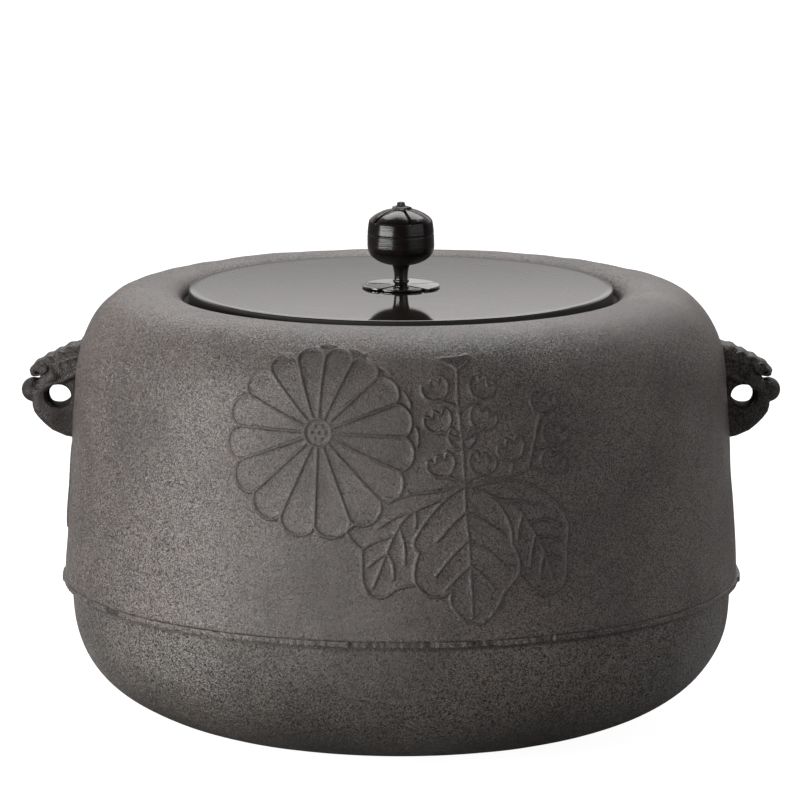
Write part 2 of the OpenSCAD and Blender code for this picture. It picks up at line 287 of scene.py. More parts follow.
def uneven(across, up, seed, length, waves=24):
    """Gentle casting unevenness of about 1 over a surface, from a sum of seeded waves.
    The waves fit a whole number of times round the turn across."""
    chance = np.random.default_rng(seed)
    total = np.zeros(np.broadcast(across, up).shape)
    for _ in range(waves):
        heading, phase = chance.uniform(0.0, 2 * math.pi, 2)
        pace = 2 * math.pi / (length * chance.uniform(0.6, 1.8))
        round_pace = round(pace * math.cos(heading) * BOTTOM_R)
        total += np.sin(round_pace * across + pace * math.sin(heading) * up + phase)
    return total / math.sqrt(waves)


def make_piece(name, points, faces, material, body, slot, nodes):
    """A smooth mesh piece from points in millimetres, with its material, its body,
    and the CAD nodes that it stands for. Faces that look inwards are turned over. The slot is not used."""
    triangles = np.concatenate([f[:, [0, i, i + 1]] for f in faces for i in range(1, f.shape[1] - 1)])
    a, b, c = (points[triangles[:, i]] for i in range(3))
    if np.einsum("ij,ij->", a, np.cross(b, c)) < 0:
        faces = [f[:, ::-1] for f in faces]
    sizes = np.concatenate([np.full(len(f), f.shape[1]) for f in faces])
    mesh = bpy.data.meshes.new(name)
    mesh.vertices.add(len(points))
    mesh.vertices.foreach_set("co", (points * MM).astype(np.float32).ravel())
    mesh.loops.add(int(sizes.sum()))
    mesh.loops.foreach_set("vertex_index", np.concatenate([f.ravel() for f in faces]).astype(np.int32))
    mesh.polygons.add(len(sizes))
    mesh.polygons.foreach_set("loop_start", (np.cumsum(sizes) - sizes).astype(np.int32))
    mesh.polygons.foreach_set("use_smooth", np.ones(len(sizes), bool))
    mesh.update(calc_edges=True)
    mesh.materials.append(material)
    piece = bpy.data.objects.new(name, mesh)
    scene.collection.objects.link(piece)
    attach(piece, body)
    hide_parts(*nodes)
    return piece


FLOAT, COLOUR, VECTOR = "NodeSocketFloat", "NodeSocketColor", "NodeSocketVector"
GREY = (0.5, 0.5, 0.5, 1.0)


def shader_group(name, inputs, outputs):
    """An empty shader node group with named sockets, what it is given, and the node that takes its results."""
    group = bpy.data.node_groups.new(name, "ShaderNodeTree")
    for title, value in inputs.items():
        kind = FLOAT if isinstance(value, float) else COLOUR
        group.interface.new_socket(title, in_out="INPUT", socket_type=kind).default_value = value
    for title, kind in outputs.items():
        group.interface.new_socket(title, in_out="OUTPUT", socket_type=kind)
    return group, group.nodes.new("NodeGroupInput").outputs, group.nodes.new("NodeGroupOutput")


def place_on(tree, axis=None):
    """The place of a point in the kettle's own space, or one coordinate of it."""
    place = wire(tree, "ShaderNodeTexCoord")["Object"]
    return wire(tree, "ShaderNodeSeparateXYZ", {0: place})[axis] if axis else place


def noise(tree, scale, detail=2.0, roughness=0.55):
    """The value of a noise texture in the kettle's own space."""
    feeds = {"Vector": place_on(tree), "Scale": scale, "Detail": detail, "Roughness": roughness}
    return wire(tree, "ShaderNodeTexNoise", feeds)[0]


def cells(tree, scale):
    """The outputs of a cell texture in the kettle's own space."""
    return wire(tree, "ShaderNodeTexVoronoi", {"Vector": place_on(tree), "Scale": scale})


def steer(operation, *terms):
    """The outputs of a vector reckoned from one, two or three terms."""
    return wire(tree_of(*terms), "ShaderNodeVectorMath", dict(enumerate(terms)), operation=operation)


# The print of the mould sand: single grains, each light or dark and leaning its own way, and scattered pits.
sand_print, given, results = shader_group(
    "sand_print", {"Grains": 1200.0, "Pitting": 0.3, "Tilt": 0.8},
    {"Height": FLOAT, "Grain": FLOAT, "Normal": VECTOR})
grain_colour = cells(sand_print, given["Grains"])["Color"]
grain_chance = wire(sand_print, "ShaderNodeSeparateColor", {0: grain_colour})[0]
fine_sand = noise(sand_print, given["Grains"], 0.0)
coarse_sand = noise(sand_print, reckon("MULTIPLY", given["Grains"], 0.42), 1.0)
sand = reckon("MULTIPLY_ADD", fine_sand, 0.74, reckon("MULTIPLY", coarse_sand, 0.26))
pit_gap = cells(sand_print, reckon("MULTIPLY", given["Grains"], 0.22))["Distance"]
pits = reckon("MULTIPLY", eased(pit_gap, 0.12, 0.34, 1.0, 0.0), given["Pitting"])
clumps = reckon("MULTIPLY", eased(sand, 0.36, 0.64), 0.15)
grain_mask = reckon("MULTIPLY_ADD", eased(grain_chance, 0.2, 0.8), 0.85, clumps)
level_skin = wire(sand_print, "ShaderNodeNewGeometry")["Normal"]
grain_lean = steer("SUBTRACT", grain_colour, GREY[:3])[0]
lean_by = wire(sand_print, "ShaderNodeCombineXYZ", dict.fromkeys(range(3), given["Tilt"]))[0]
tilted_skin = steer("MULTIPLY_ADD", grain_lean, lean_by, level_skin)[0]
feed(sand_print, results, {
    "Height": reckon("SUBTRACT", sand, pits),
    "Grain": reckon("SUBTRACT", grain_mask, pits),
    "Normal": steer("NORMALIZE", tilted_skin)[0],
})

# The tone of old iron: cloudy patches of dark and light, a warm tinge here and there, and dark between grains.
iron_tone, given, results = shader_group(
    "iron_tone", {"Dark": GREY, "Light": GREY, "Warm": GREY, "Grain": 0.5, "Contrast": 1.0, "Gloss": 1.0},
    {"Color": COLOUR, "Roughness": FLOAT})
clouds = eased(noise(iron_tone, 16.0, 4.0), 0.36, 0.66)
warmth = eased(noise(iron_tone, 43.0, 3.0), 0.48, 0.74, 0.0, 0.75)
warmed = mixed(warmth, mixed(clouds, given["Dark"], given["Light"]), given["Warm"])
grain_swing = reckon("MULTIPLY", reckon("SUBTRACT", given["Grain"], 0.5), 2.0)
grain_shade = reckon("MULTIPLY_ADD", grain_swing, given["Contrast"], 1.0)
grain_shade = reckon("MAXIMUM", grain_shade, 0.05)
shade_colour = wire(iron_tone, "ShaderNodeCombineColor", dict.fromkeys(range(3), grain_shade))[0]
iron_dullness = eased(clouds, 0.0, 1.0, 0.54, 0.42)
feed(iron_tone, results, {
    "Color": mixed(1.0, warmed, shade_colour, "MULTIPLY"),
    "Roughness": reckon("MULTIPLY", iron_dullness, given["Gloss"]),
})


def iron(name, dark, light, warm, grains, shine, pitting=0.3, gloss=1.0, tilt=0.7, contrast=0.95, depth=0.0003):
    """A sand-cast iron skin of its own tones and grain, with the depth of the grain in metres.
    Where a piece is marked dark, that is dark, brown and dull: real soot on inner faces, painted shade in gaps,
    breaks and bores."""
    material, tree, shader = new_material(name)
    sands = {"Grains": grains, "Pitting": pitting, "Tilt": tilt}
    cast = wire(tree, "ShaderNodeGroup", sands, node_tree=sand_print)
    tones = {"Dark": (*dark, 1.0), "Light": (*light, 1.0), "Warm": (*warm, 1.0),
             "Grain": cast["Grain"], "Contrast": contrast, "Gloss": gloss}
    tone = wire(tree, "ShaderNodeGroup", tones, node_tree=iron_tone)
    inside = wire(tree, "ShaderNodeAttribute", attribute_name="inside")["Fac"]
    grainy = {"Height": cast["Height"], "Distance": depth, "Normal": cast["Normal"]}
    feed(tree, shader, {
        "Base Color": mixed(inside, tone["Color"], SOOT_AND_SHADE),
        "Roughness": between(inside, tone["Roughness"], SOOT_DULL),
        "Normal": wire(tree, "ShaderNodeBump", grainy)[0],
        "Specular IOR Level": shine,
    })
    return material


def paint_over(material, share, colour):
    """Lays a colour over what a material shows so far, by a share of 0 to 1."""
    tree = material.node_tree
    base = tree.nodes["Principled BSDF"].inputs["Base Color"]
    tree.links.new(mixed(share, base.links[0].from_socket, colour), base)


def mark(piece, title, shares):
    """Keeps a share of 0 to 1 at each point of a piece, for its material."""
    marks = np.zeros(len(piece.data.vertices), np.float32)
    marks[:shares.size] = shares.ravel()
    piece.data.attributes.new(title, "FLOAT", "POINT").data.foreach_set("value", marks)


pan_iron = iron("pan_iron", (0.064, 0.057, 0.051), (0.104, 0.093, 0.084), (0.098, 0.082, 0.070),
                grains=2500.0, shine=0.55, pitting=0.25, tilt=0.8, contrast=1.0)
pan_tree = pan_iron.node_tree
# Painted shadow: a dark band on the pan just under the overhanging flange.
painted_flange_shadow = eased(place_on(pan_tree, "Z"), *FLANGE_SHADE_Z, 0.0, FLANGE_SHADE)
paint_over(pan_iron, painted_flange_shadow, SOOT_AND_SHADE)
pan_outline = np.concatenate([
    [(CENTRE_R, 0.0)],
    bow(BASE_R, 0.0, BOTTOM_R, FLANGE_LOW_Z, PAN_NR, PAN_NZ, 40),
    [(RIM_R, FLANGE_LOW_Z), (RIM_R, LAP_TOP_Z), (RIM_R - CAST_T, LAP_TOP_Z)],
    bow(BASE_R - BASE_INSET, FLOOR_T, RIM_R - CAST_T, FLANGE_LOW_Z, PAN_NR, PAN_NZ, 40)[::-1],
    [(CENTRE_R, FLOOR_T)],
])
pan_outline = spaced(rounded(pan_outline, BOTTOM_EASE, ring=False), BOTTOM_STEP)
pan_radius, pan_height = even_rows(pan_outline, BOTTOM_COLUMNS)
pan_turn = np.arange(BOTTOM_COLUMNS) * 2 * math.pi / BOTTOM_COLUMNS
pan_swell = BOTTOM_UNEVEN * uneven(pan_turn[None, :], pan_outline[:, 1:], 3, BOTTOM_WAVE)
pan_free = (pan_height > UNEVEN_FROM_Z) & (pan_height < FLANGE_LOW_Z - UNEVEN_BELOW_RIM)
pan_radius = pan_radius + np.where(pan_free, pan_swell, 0.0)
bottom_piece = make_piece("cast_bottom", *turned(pan_radius, pan_height, ring=False),
                          pan_iron, "kettle", "iron_skin", ["kettle_bottom"])
pan_inside = np.arange(len(pan_outline)) > np.argmax(pan_outline[:, 1])
mark(bottom_piece, "inside", np.repeat(INSIDE_SOOT * pan_inside[:, None], BOTTOM_COLUMNS, 1))

# The seam putty: lacquer and iron powder packed into the lap between the bottom and the shell.
# It cures hard and black. The lap hides it, so the CAD ring stays and only gets its finish.
SEAM_DARK, SEAM_LIGHT = (0.011, 0.009, 0.008, 1.0), (0.034, 0.028, 0.024, 1.0)
SEAM_DEPTH = 0.0002
seam_lacquer, seam_tree, seam_shader = new_material("seam_lacquer")
seam_cloud = eased(noise(seam_tree, 700.0, 3.0), 0.3, 0.7)
feed(seam_tree, seam_shader, {
    "Base Color": mixed(seam_cloud, SEAM_DARK, SEAM_LIGHT),
    "Roughness": eased(seam_cloud, 0.0, 1.0, 0.75, 0.5),
    "Normal": wire(seam_tree, "ShaderNodeBump", {"Height": seam_cloud, "Distance": SEAM_DEPTH})[0],
})
seam_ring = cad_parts["seam_putty"]
seam_ring.data.materials.clear()
seam_ring.data.materials.append(seam_lacquer)

# The shell: the upper casting, from the ragged flange over the wall and shoulder to the mouth and its ledge.
# Flower sprays in fine raised lines were pressed into the mould three times round before it was cast.
FLANGE_R = shell_high.x
CREST_Z = shell_high.z
FLANGE_TOP_Z = 60.6
LAP_R = 131.2
WALL_FOOT_R = 134.6
WALL_TOP_R = 129.85
SHOULDER_Z = 138.1
CREST_R = 98.0
CREST_T = 3.8
MOUTH_R = 87.0
MOUTH_LOW_Z = 169.3
NECK_R = 91.0
THROAT_R = 80.0
LEDGE_Z = 168.4
LEDGE_T = 4.0
SHOULDER_NR = 0.74
SHOULDER_NZ = 1.134
SHELL_ROW = 0.42
SHELL_PLAIN_STEP = 1.6
SHELL_TRIANGLES = 190_000
SHELL_UNEVEN = 0.16
SHELL_WAVE = 30.0
SHELL_FADE = 6.0
SHELL_EASE = 0.5
SHELL_INNER_STEP = 4.0
FIN_TOP_Z = 59.4
FIN_REST = 0.35
FIN_BREAKS = ((-56.7, 2.0, -0.7), (-66.2, 0.7, -0.5), (-1.4, 7.0, -0.4), (13.8, 2.2, -0.45), (24.0, 1.6, -0.3),
              (33.0, 1.2, -0.4), (43.0, 1.8, -0.2), (90.0, 6.0, 1.0), (-89.0, 4.0, 0.8))
FIN_RAGGED, FIN_WAVE, FIN_LIMITS = 0.13, 3.0, (-0.7, 1.0)
BACK_CHIPS = 14
BACK_CHIP_RANGES = ((105.0, 255.0), (0.5, 4.0), (-0.6, 0.9))
BREAK_SHADE, BREAK_SHADE_FROM = 1.7, -0.2
LINE_WIDTH = 0.54
LINE_HEIGHT = 0.72
LINE_WORN, LINE_WEAR, LINE_WEAR_WAVE, LINE_WEAR_LIMITS = 0.85, 0.22, 45.0, (0.45, 1.15)
LINE_SHADE = (0.018, 0.015, 0.014, 1.0)
RIM_BAND_Z = (0.1640, 0.1725)
RUST, POCK = (0.080, 0.044, 0.034, 1.0), (0.008, 0.006, 0.005, 1.0)
SHADE_PATCH_PLACE = (-0.102, -0.080, 0.139)
SHADE_PATCH_REACH, SHADE_PATCH_SHARE = (0.005, 0.038), 0.35
SPRAY_R = 131.0
SPRAY_TURNS = (-118.6, 0.0, 127.0)
SPRAY_LEFT, SPRAY_RIGHT = -75.0, 70.0
HUB = np.array((-32.0, 78.0))
HUB_R = 5.4
PETALS = 16
PETAL_R = 37.0
PETAL_TURN = -91.4
PETAL_FLAT, PETAL_NECK, PETAL_GAP = 3.2, 0.88, 0.8
SECOND_ROW = range(3, 8)
LEAF_NODE = (24.2, 58.1)
FRONT_LEAF = (
    (LEAF_NODE, (17.0, 53.6), (10.5, 46.6), (5.8, 39.6), (4.7, 36.0), (6.7, 33.0)),
    ((6.7, 33.0), (5.2, 28.0), (5.2, 22.0), (9.0, 17.2), (14.6, 16.0), (18.8, 18.4)),
    ((18.8, 18.4), (18.6, 13.6), (22.2, 8.2), (26.6, 5.6), (30.0, 5.4), (33.0, 7.2), (36.4, 11.6),
     (38.6, 16.6)),
    ((38.6, 16.6), (41.6, 19.6), (44.6, 23.4), (45.2, 27.2), (44.4, 31.0), (42.1, 35.2)),
    ((42.1, 35.2), (42.0, 40.2), (39.3, 47.4), (34.0, 53.8), (29.0, 57.0), LEAF_NODE),
    (LEAF_NODE, (24.4, 48.5), (25.5, 37.7), (26.0, 27.8), (26.7, 13.2), (26.6, 7.5)),
    ((24.4, 48.5), (32.0, 44.0), (39.6, 38.2)),
    ((25.5, 37.7), (32.3, 33.3), (39.4, 27.1)),
    ((26.0, 27.8), (31.7, 22.9), (35.0, 18.4)),
    ((24.4, 48.5), (19.5, 44.1), (13.5, 37.6)),
    ((25.5, 37.7), (19.4, 32.1), (13.0, 24.2)),
    ((26.0, 27.8), (20.6, 23.0), (16.5, 18.6)),
)
LEFT_LEAF = (
    (LEAF_NODE, (17.0, 56.9), (10.9, 56.2), (3.0, 55.2), (-2.5, 53.6), (-6.0, 54.0)),
    ((-12.5, 44.8), (-17.0, 44.0), (-20.5, 41.0)),
    ((-20.5, 41.0), (-18.5, 37.5), (-14.7, 34.2)),
    ((-14.7, 34.2), (-14.4, 28.0), (-14.2, 22.0), (-11.8, 17.0), (-8.6, 15.9), (-5.4, 16.7), (-0.5, 19.9),
     (4.6, 20.6)),
    (LEAF_NODE, (17.5, 54.8), (10.9, 51.6), (5.0, 49.0), (0.9, 45.6), (-1.7, 41.5), (-5.4, 33.0),
     (-10.3, 20.0)),
    ((5.0, 49.0), (-2.0, 46.8), (-9.1, 42.1)),
    ((-2.6, 39.6), (-9.7, 37.3), (-14.1, 34.6)),
    ((-5.4, 33.0), (-9.7, 29.9), (-12.4, 27.6)),
    ((5.0, 49.0), (5.6, 46.0), (5.4, 42.6)),
    ((-0.8, 43.0), (1.2, 36.0), (1.4, 28.9)),
    ((-5.4, 33.0), (-3.2, 28.9), (-2.7, 23.1)),
)
RIGHT_LEAF = (
    (LEAF_NODE, (33.0, 58.9), (41.0, 59.5), (49.5, 57.6), (57.0, 53.2), (63.0, 46.4), (65.6, 39.9)),
    ((65.6, 39.9), (64.6, 33.0), (64.4, 26.0), (64.0, 20.4), (60.5, 15.8), (55.0, 14.6), (50.2, 17.4),
     (45.0, 23.0)),
    ((34.5, 54.0), (44.1, 49.1), (49.6, 41.3), (54.3, 33.0), (56.9, 26.6), (58.6, 20.5)),
    ((39.4, 52.0), (47.0, 51.2), (55.6, 48.7)),
    ((48.6, 43.0), (56.4, 43.4), (62.3, 41.0)),
    ((52.0, 37.2), (57.2, 36.9), (61.7, 34.9)),
    ((55.4, 30.2), (58.6, 29.8), (61.6, 28.0)),
    ((46.4, 46.4), (44.8, 40.8), (44.3, 36.7)),
    ((51.6, 38.0), (49.9, 31.3), (49.3, 25.5)),
    ((55.2, 31.0), (53.8, 26.0), (53.4, 21.0)),
)
TOP_BRACT = ((22.6, 102.6), (18.5, 105.6), (14.9, 106.9), (22.2, 107.6), (28.2, 108.3), (27.0, 105.4),
             (22.6, 102.6))
SPIKE_STEM = (LEAF_NODE, (23.6, 71.7), (22.2, 86.5), (21.9, 94.2), (22.6, 102.6))
SIDE_STEM = (LEAF_NODE, (38.0, 60.6), (48.5, 63.0), (51.5, 72.0), (54.4, 84.0))
SPIKE_BELLS = ((13.6, 94.6), (31.6, 94.8), (14.3, 82.6), (31.4, 83.2), (23.2, 76.2), (15.5, 65.8),
               (30.9, 66.2))
SIDE_BELLS = ((42.8, 71.0), (60.4, 75.6), (59.6, 64.8), (56.4, 87.8))
BELL_HALF = 5.4
BELL_CUP = ((-1.0, 0.35), (-0.92, -0.15), (-0.5, -0.62), (0.0, -0.76), (0.5, -0.62), (0.92, -0.15),
            (1.0, 0.35))
BELL_RIM = ((-1.0, 0.35), (-0.72, 0.74), (-0.34, 0.40), (0.0, 0.82), (0.34, 0.40), (0.72, 0.74), (1.0, 0.35))


def flowing(points, step=1.4):
    """A smooth curve through a few points."""
    points = np.asarray(points, float)
    padded = np.concatenate([2 * points[:1] - points[1:2], points, 2 * points[-1:] - points[-2:-1]])
    made = []
    for p0, p1, p2, p3 in zip(padded[:-3], padded[1:-2], padded[2:-1], padded[3:]):
        count = max(2, math.ceil(np.hypot(*(p2 - p1)) / step))
        t = np.arange(count)[:, None] / count
        made.append(0.5 * (2 * p1 + (p2 - p0) * t + (2 * p0 - 5 * p1 + 4 * p2 - p3) * t ** 2
                           + (3 * p1 - p0 - 3 * p2 + p3) * t ** 3))
    return np.concatenate(made + [points[-1:]])


def on_ray(centre, radius, degrees):
    """A point at a distance and a direction from a centre."""
    turn = np.radians(degrees)
    return centre + np.stack([radius * np.cos(turn), radius * np.sin(turn)], -1)


def petal_reach(degrees):
    """How far the petals reach in a direction. The flower is a little flattened from above."""
    return PETAL_R - PETAL_FLAT * np.sin(np.radians(degrees))


def chrysanthemum():
    """A ring of round-ended petals about a dotted hub, with the tips of a second row at one side."""
    lines = [on_ray(HUB, np.full(25, HUB_R), np.linspace(0, 360, 25))]
    for dot in [HUB] + [on_ray(HUB, 0.5 * HUB_R, 60.0 * k) for k in range(6)]:
        lines.append(np.stack([dot, dot + 0.2]))
    step = 360.0 / PETALS
    t = np.linspace(0.0, 1.0, 15)
    for k in range(PETALS):
        turns = PETAL_TURN + step * (k + t)
        reach = petal_reach(turns)
        lines.append(on_ray(HUB, np.array((HUB_R + PETAL_GAP, reach[0] * PETAL_NECK)), turns[:1]))
        lines.append(on_ray(HUB, reach * (PETAL_NECK + (1 - PETAL_NECK) * np.sin(math.pi * t) ** 0.55), turns))
        if k in SECOND_ROW:
            second = turns + step / 2
            tip = petal_reach(second) * (0.99 + 0.05 * np.sin(math.pi * t))
            lines.append(on_ray(HUB, tip, second)[4:-4])
    return lines


def bell(centre, lean, half=BELL_HALF):
    """A small flower bell with a toothed rim, leaning so many degrees to the right."""
    turn = math.radians(-lean)
    spin = np.array(((math.cos(turn), math.sin(turn)), (-math.sin(turn), math.cos(turn))))
    return [flowing(np.array(side) * half @ spin + centre, 0.8) for side in (BELL_CUP, BELL_RIM)]


def spray():
    """The lines of one spray, unrolled: a chrysanthemum, three leaves and two spikes of bells."""
    lines = chrysanthemum()
    for drawn in FRONT_LEAF + LEFT_LEAF + RIGHT_LEAF + (TOP_BRACT, SPIKE_STEM, SIDE_STEM):
        lines.append(flowing(drawn))
    for stem, bells in ((SPIKE_STEM, SPIKE_BELLS), (SIDE_STEM, SIDE_BELLS)):
        stem = flowing(stem)
        for place in np.array(bells):
            foot = stem[np.argmin(np.hypot(*(stem - place + (0.0, 7.0)).T))]
            away = place[0] - np.interp(place[1], stem[:, 1], stem[:, 0])
            lines += bell(place, 3.0 * away) + [np.array([foot, place - (0.06 * away, 0.7 * BELL_HALF)])]
    return lines


def press(raised, lines, across, up, width, height):
    """Raises round-topped lines on a stretch of the unrolled skin. Each line is (across, up) in millimetres."""
    reach = 2.3 * width
    for line in lines:
        line = spaced(line, 2.0)
        for start, end in zip(line[:-1], line[1:]):
            low, high = np.minimum(start, end) - reach, np.maximum(start, end) + reach
            column = slice(*np.searchsorted(across, (low[0], high[0])))
            row = slice(*np.searchsorted(up, (low[1], high[1])))
            from_x, from_y = across[None, column] - start[0], up[row, None] - start[1]
            run = end - start
            share = ((from_x * run[0] + from_y * run[1]) / max(run @ run, 1e-9)).clip(0.0, 1.0)
            gap = (from_x - share * run[0]) ** 2 + (from_y - share * run[1]) ** 2
            raised[row, column] = np.maximum(raised[row, column], height * np.exp(-gap / width ** 2))


def wall_r(z):
    """Radius of the outside of the wall at a height between the flange and the shoulder."""
    return WALL_TOP_R + (WALL_FOOT_R - WALL_TOP_R) * (SHOULDER_Z - z) / (SHOULDER_Z - FLANGE_TOP_Z)


skin_line = np.concatenate([
    [(WALL_FOOT_R, FLANGE_TOP_Z)],
    bow(CREST_R, CREST_Z, WALL_TOP_R, SHOULDER_Z, SHOULDER_NR, SHOULDER_NZ, 60)[::-1],
])
skin_line = spaced(skin_line, SHELL_ROW)
roll_turn = np.linspace(math.pi / 2, 0.0, 13)[1:, None]
roll_line = np.concatenate([CREST_R - (CREST_R - MOUTH_R) * np.cos(roll_turn),
                            MOUTH_LOW_Z + (CREST_Z - MOUTH_LOW_Z) * np.sin(roll_turn)], 1)
inner_line = np.concatenate([
    [(MOUTH_R, LEDGE_Z), (THROAT_R, LEDGE_Z), (THROAT_R, LEDGE_Z - LEDGE_T), (NECK_R, LEDGE_Z - LEDGE_T)],
    [(NECK_R, MOUTH_LOW_Z)],
    bow(CREST_R - CAST_T, CREST_Z - CREST_T, WALL_TOP_R - CAST_T, SHOULDER_Z, SHOULDER_NR, SHOULDER_NZ, 24),
    [(wall_r(LAP_TOP_Z) - CAST_T, LAP_TOP_Z), (LAP_R, LAP_TOP_Z), (LAP_R, FLANGE_LOW_Z)],
    [(FLANGE_R, FLANGE_LOW_Z), (FLANGE_R, FIN_TOP_Z), (WALL_FOOT_R + 0.3, FIN_TOP_Z)],
    [(WALL_FOOT_R - 0.2, FIN_TOP_Z + 0.1), (WALL_FOOT_R, FIN_TOP_Z + 0.35)],
])
inner_line = np.concatenate([roll_line[-1:], inner_line, skin_line[:1]])
inner_line = spaced(rounded(inner_line, SHELL_EASE, ring=False), SHELL_INNER_STEP)[1:-1]
shell_outline = np.concatenate([skin_line, roll_line, inner_line])
skin_up = np.concatenate([[0.0], np.cumsum(np.hypot(*np.diff(skin_line, axis=0).T))])
skin_rows = len(skin_line)

spray_across = np.arange(SPRAY_LEFT, SPRAY_RIGHT, SHELL_ROW)
spray_raised = np.zeros((skin_rows, len(spray_across)))
press(spray_raised, spray(), spray_across, skin_up, LINE_WIDTH, LINE_HEIGHT)
shell_turn, raised = [], []
for spray_turn, next_turn in zip(SPRAY_TURNS, SPRAY_TURNS[1:] + (SPRAY_TURNS[0] + 360.0,)):
    spray_at = SPRAY_R * math.radians(spray_turn)
    plain_from = spray_at + spray_across[-1] + SHELL_ROW
    plain_to = SPRAY_R * math.radians(next_turn) + SPRAY_LEFT
    plain_count = math.ceil((plain_to - plain_from) / SHELL_PLAIN_STEP)
    plain = np.linspace(plain_from, plain_to, plain_count, endpoint=False)
    shell_turn += [spray_at + spray_across, plain]
    raised += [spray_raised, np.zeros((skin_rows, len(plain)))]
shell_turn = np.concatenate(shell_turn) / SPRAY_R
raised = np.concatenate(raised, 1)
line_left = LINE_WORN + LINE_WEAR * uneven(shell_turn[None, :], skin_up[:, None], 11, LINE_WEAR_WAVE)
raised *= line_left.clip(*LINE_WEAR_LIMITS)

along = np.roll(shell_outline, -1, 0) - np.roll(shell_outline, 1, 0)
along = along / np.hypot(along[:, 0], along[:, 1])[:, None]
outward = np.stack([along[:, 1], -along[:, 0]], 1)
swell = np.zeros((len(shell_outline), len(shell_turn)))
fade = np.minimum(1.0, skin_up / SHELL_FADE)[:, None]
swell[:skin_rows] = raised + fade * SHELL_UNEVEN * uneven(shell_turn[None, :], skin_up[:, None], 5, SHELL_WAVE)
shell_radius = shell_outline[:, :1] + swell * outward[:, :1]
shell_height = shell_outline[:, 1:] + swell * outward[:, 1:]

# The flange is the fin that squeezed out between the halves of the mould. It was broken back here and there.
chance = np.random.default_rng(29)
fin = np.full(len(shell_turn), FIN_REST)
back_chips = [[chance.uniform(*limits) for limits in BACK_CHIP_RANGES] for _ in range(BACK_CHIPS)]
for chip_at, chip_half, stands in (*FIN_BREAKS, *back_chips):
    from_chip = np.abs((np.degrees(shell_turn) - chip_at + 180.0) % 360.0 - 180.0)
    fin = np.where(from_chip < chip_half, stands, fin)
fin = (fin + FIN_RAGGED * uneven(shell_turn, np.zeros(1), 17, FIN_WAVE)).clip(*FIN_LIMITS)
in_fin = (shell_outline[:, 1] < FIN_TOP_Z + 0.05) & (shell_outline[:, 0] > WALL_FOOT_R)
shell_radius[in_fin] -= (1.0 - fin) * (shell_radius[in_fin] - WALL_FOOT_R)

shell_iron = iron("shell_iron", (0.055, 0.045, 0.040), (0.088, 0.073, 0.066), (0.091, 0.069, 0.058),
                  grains=2900.0, shine=0.78, pitting=0.10, gloss=0.92, tilt=0.65, contrast=1.3)
shell_tree = shell_iron.node_tree
shell_level = place_on(shell_tree, "Z")
rim_band = eased(shell_level, *RIM_BAND_Z)
rust_spots = eased(noise(shell_tree, 90.0, 4.0, 0.75), 0.44, 0.68, 0.0, 0.6)
paint_over(shell_iron, reckon("MULTIPLY", rim_band, rust_spots), RUST)
pock_where = eased(noise(shell_tree, 60.0, 2.0), 0.44, 0.58)
pocks = eased(cells(shell_tree, 230.0)["Distance"], 0.12, 0.36, 0.95, 0.0)
pocks = reckon("MULTIPLY", pocks, pock_where)
paint_over(shell_iron, reckon("MULTIPLY", pocks, rim_band), POCK)
# Painted shade on the flanks of the raised lines, lighter towards their crests.
line_rise = wire(shell_tree, "ShaderNodeAttribute", attribute_name="raised")["Fac"]
painted_line_shade = reckon("MULTIPLY", eased(line_rise, 0.03, 0.30),
                   eased(line_rise, 0.45, 0.90, 0.50, 0.12))
paint_over(shell_iron, painted_line_shade, LINE_SHADE)
# Painted shade: a broken dark line along the crease where the wall meets the flange fin.
from_seam = reckon("ABSOLUTE", reckon("SUBTRACT", shell_level, FIN_TOP_Z * MM))
seam_gaps = eased(noise(shell_tree, 45.0, 2.0), 0.40, 0.56, 0.05, 0.45)
painted_crease_shade = eased(from_seam, 0.0001, 0.0004, 1.0, 0.0)
paint_over(shell_iron, reckon("MULTIPLY", painted_crease_shade, seam_gaps), SOOT_AND_SHADE)
# Painted shade: a soft dark patch on the front left, where the wall turns into the shoulder.
from_shade_patch = steer("DISTANCE", place_on(shell_tree), SHADE_PATCH_PLACE)["Value"]
paint_over(shell_iron, eased(from_shade_patch, *SHADE_PATCH_REACH, SHADE_PATCH_SHARE, 0.0), SOOT_AND_SHADE)
shell_piece = make_piece("cast_shell", *turned(shell_radius, shell_height, turn=shell_turn),
                         shell_iron, "kettle", "iron_skin", ["kettle_shell"])
mark(shell_piece, "raised", raised / LINE_HEIGHT)
roll_end = skin_rows + len(roll_line)
inner_r = shell_outline[roll_end:, 0]
shell_inside = np.zeros(len(shell_outline))
# Painted shade down the roll of the mouth, growing towards the gap round the lid. Below it the ledge and throat
# are darkened fully, and the other inner faces get soot.
shell_inside[skin_rows:roll_end] = np.linspace(0.0, 1.0, len(roll_line)) ** 2.5
shell_inside[roll_end:] = np.where(inner_r < NECK_R, 1.0, INSIDE_SOOT * (inner_r < LAP_R))
shell_inside = np.repeat(shell_inside[:, None], len(shell_turn), 1)
# Painted shade in the set-back breaks of the flange, deeper where more was broken away.
shell_inside[in_fin] = BREAK_SHADE * (BREAK_SHADE_FROM - fin).clip(0.0)
mark(shell_piece, "inside", shell_inside)


def thinned(piece, triangles):
    """Takes points out of a mesh where it is flat, until so many triangles are left."""
    cut = piece.modifiers.new("thin", "DECIMATE")
    cut.ratio = triangles / (2 * len(piece.data.polygons))
    depsgraph = bpy.context.evaluated_depsgraph_get()
    mesh = bpy.data.meshes.new_from_object(piece.evaluated_get(depsgraph), preserve_all_data_layers=True,
                                           depsgraph=depsgraph)
    piece.modifiers.clear()
    full = piece.data
    piece.data = mesh
    mesh.name = full.name
    bpy.data.meshes.remove(full)


thinned(shell_piece, SHELL_TRIANGLES)

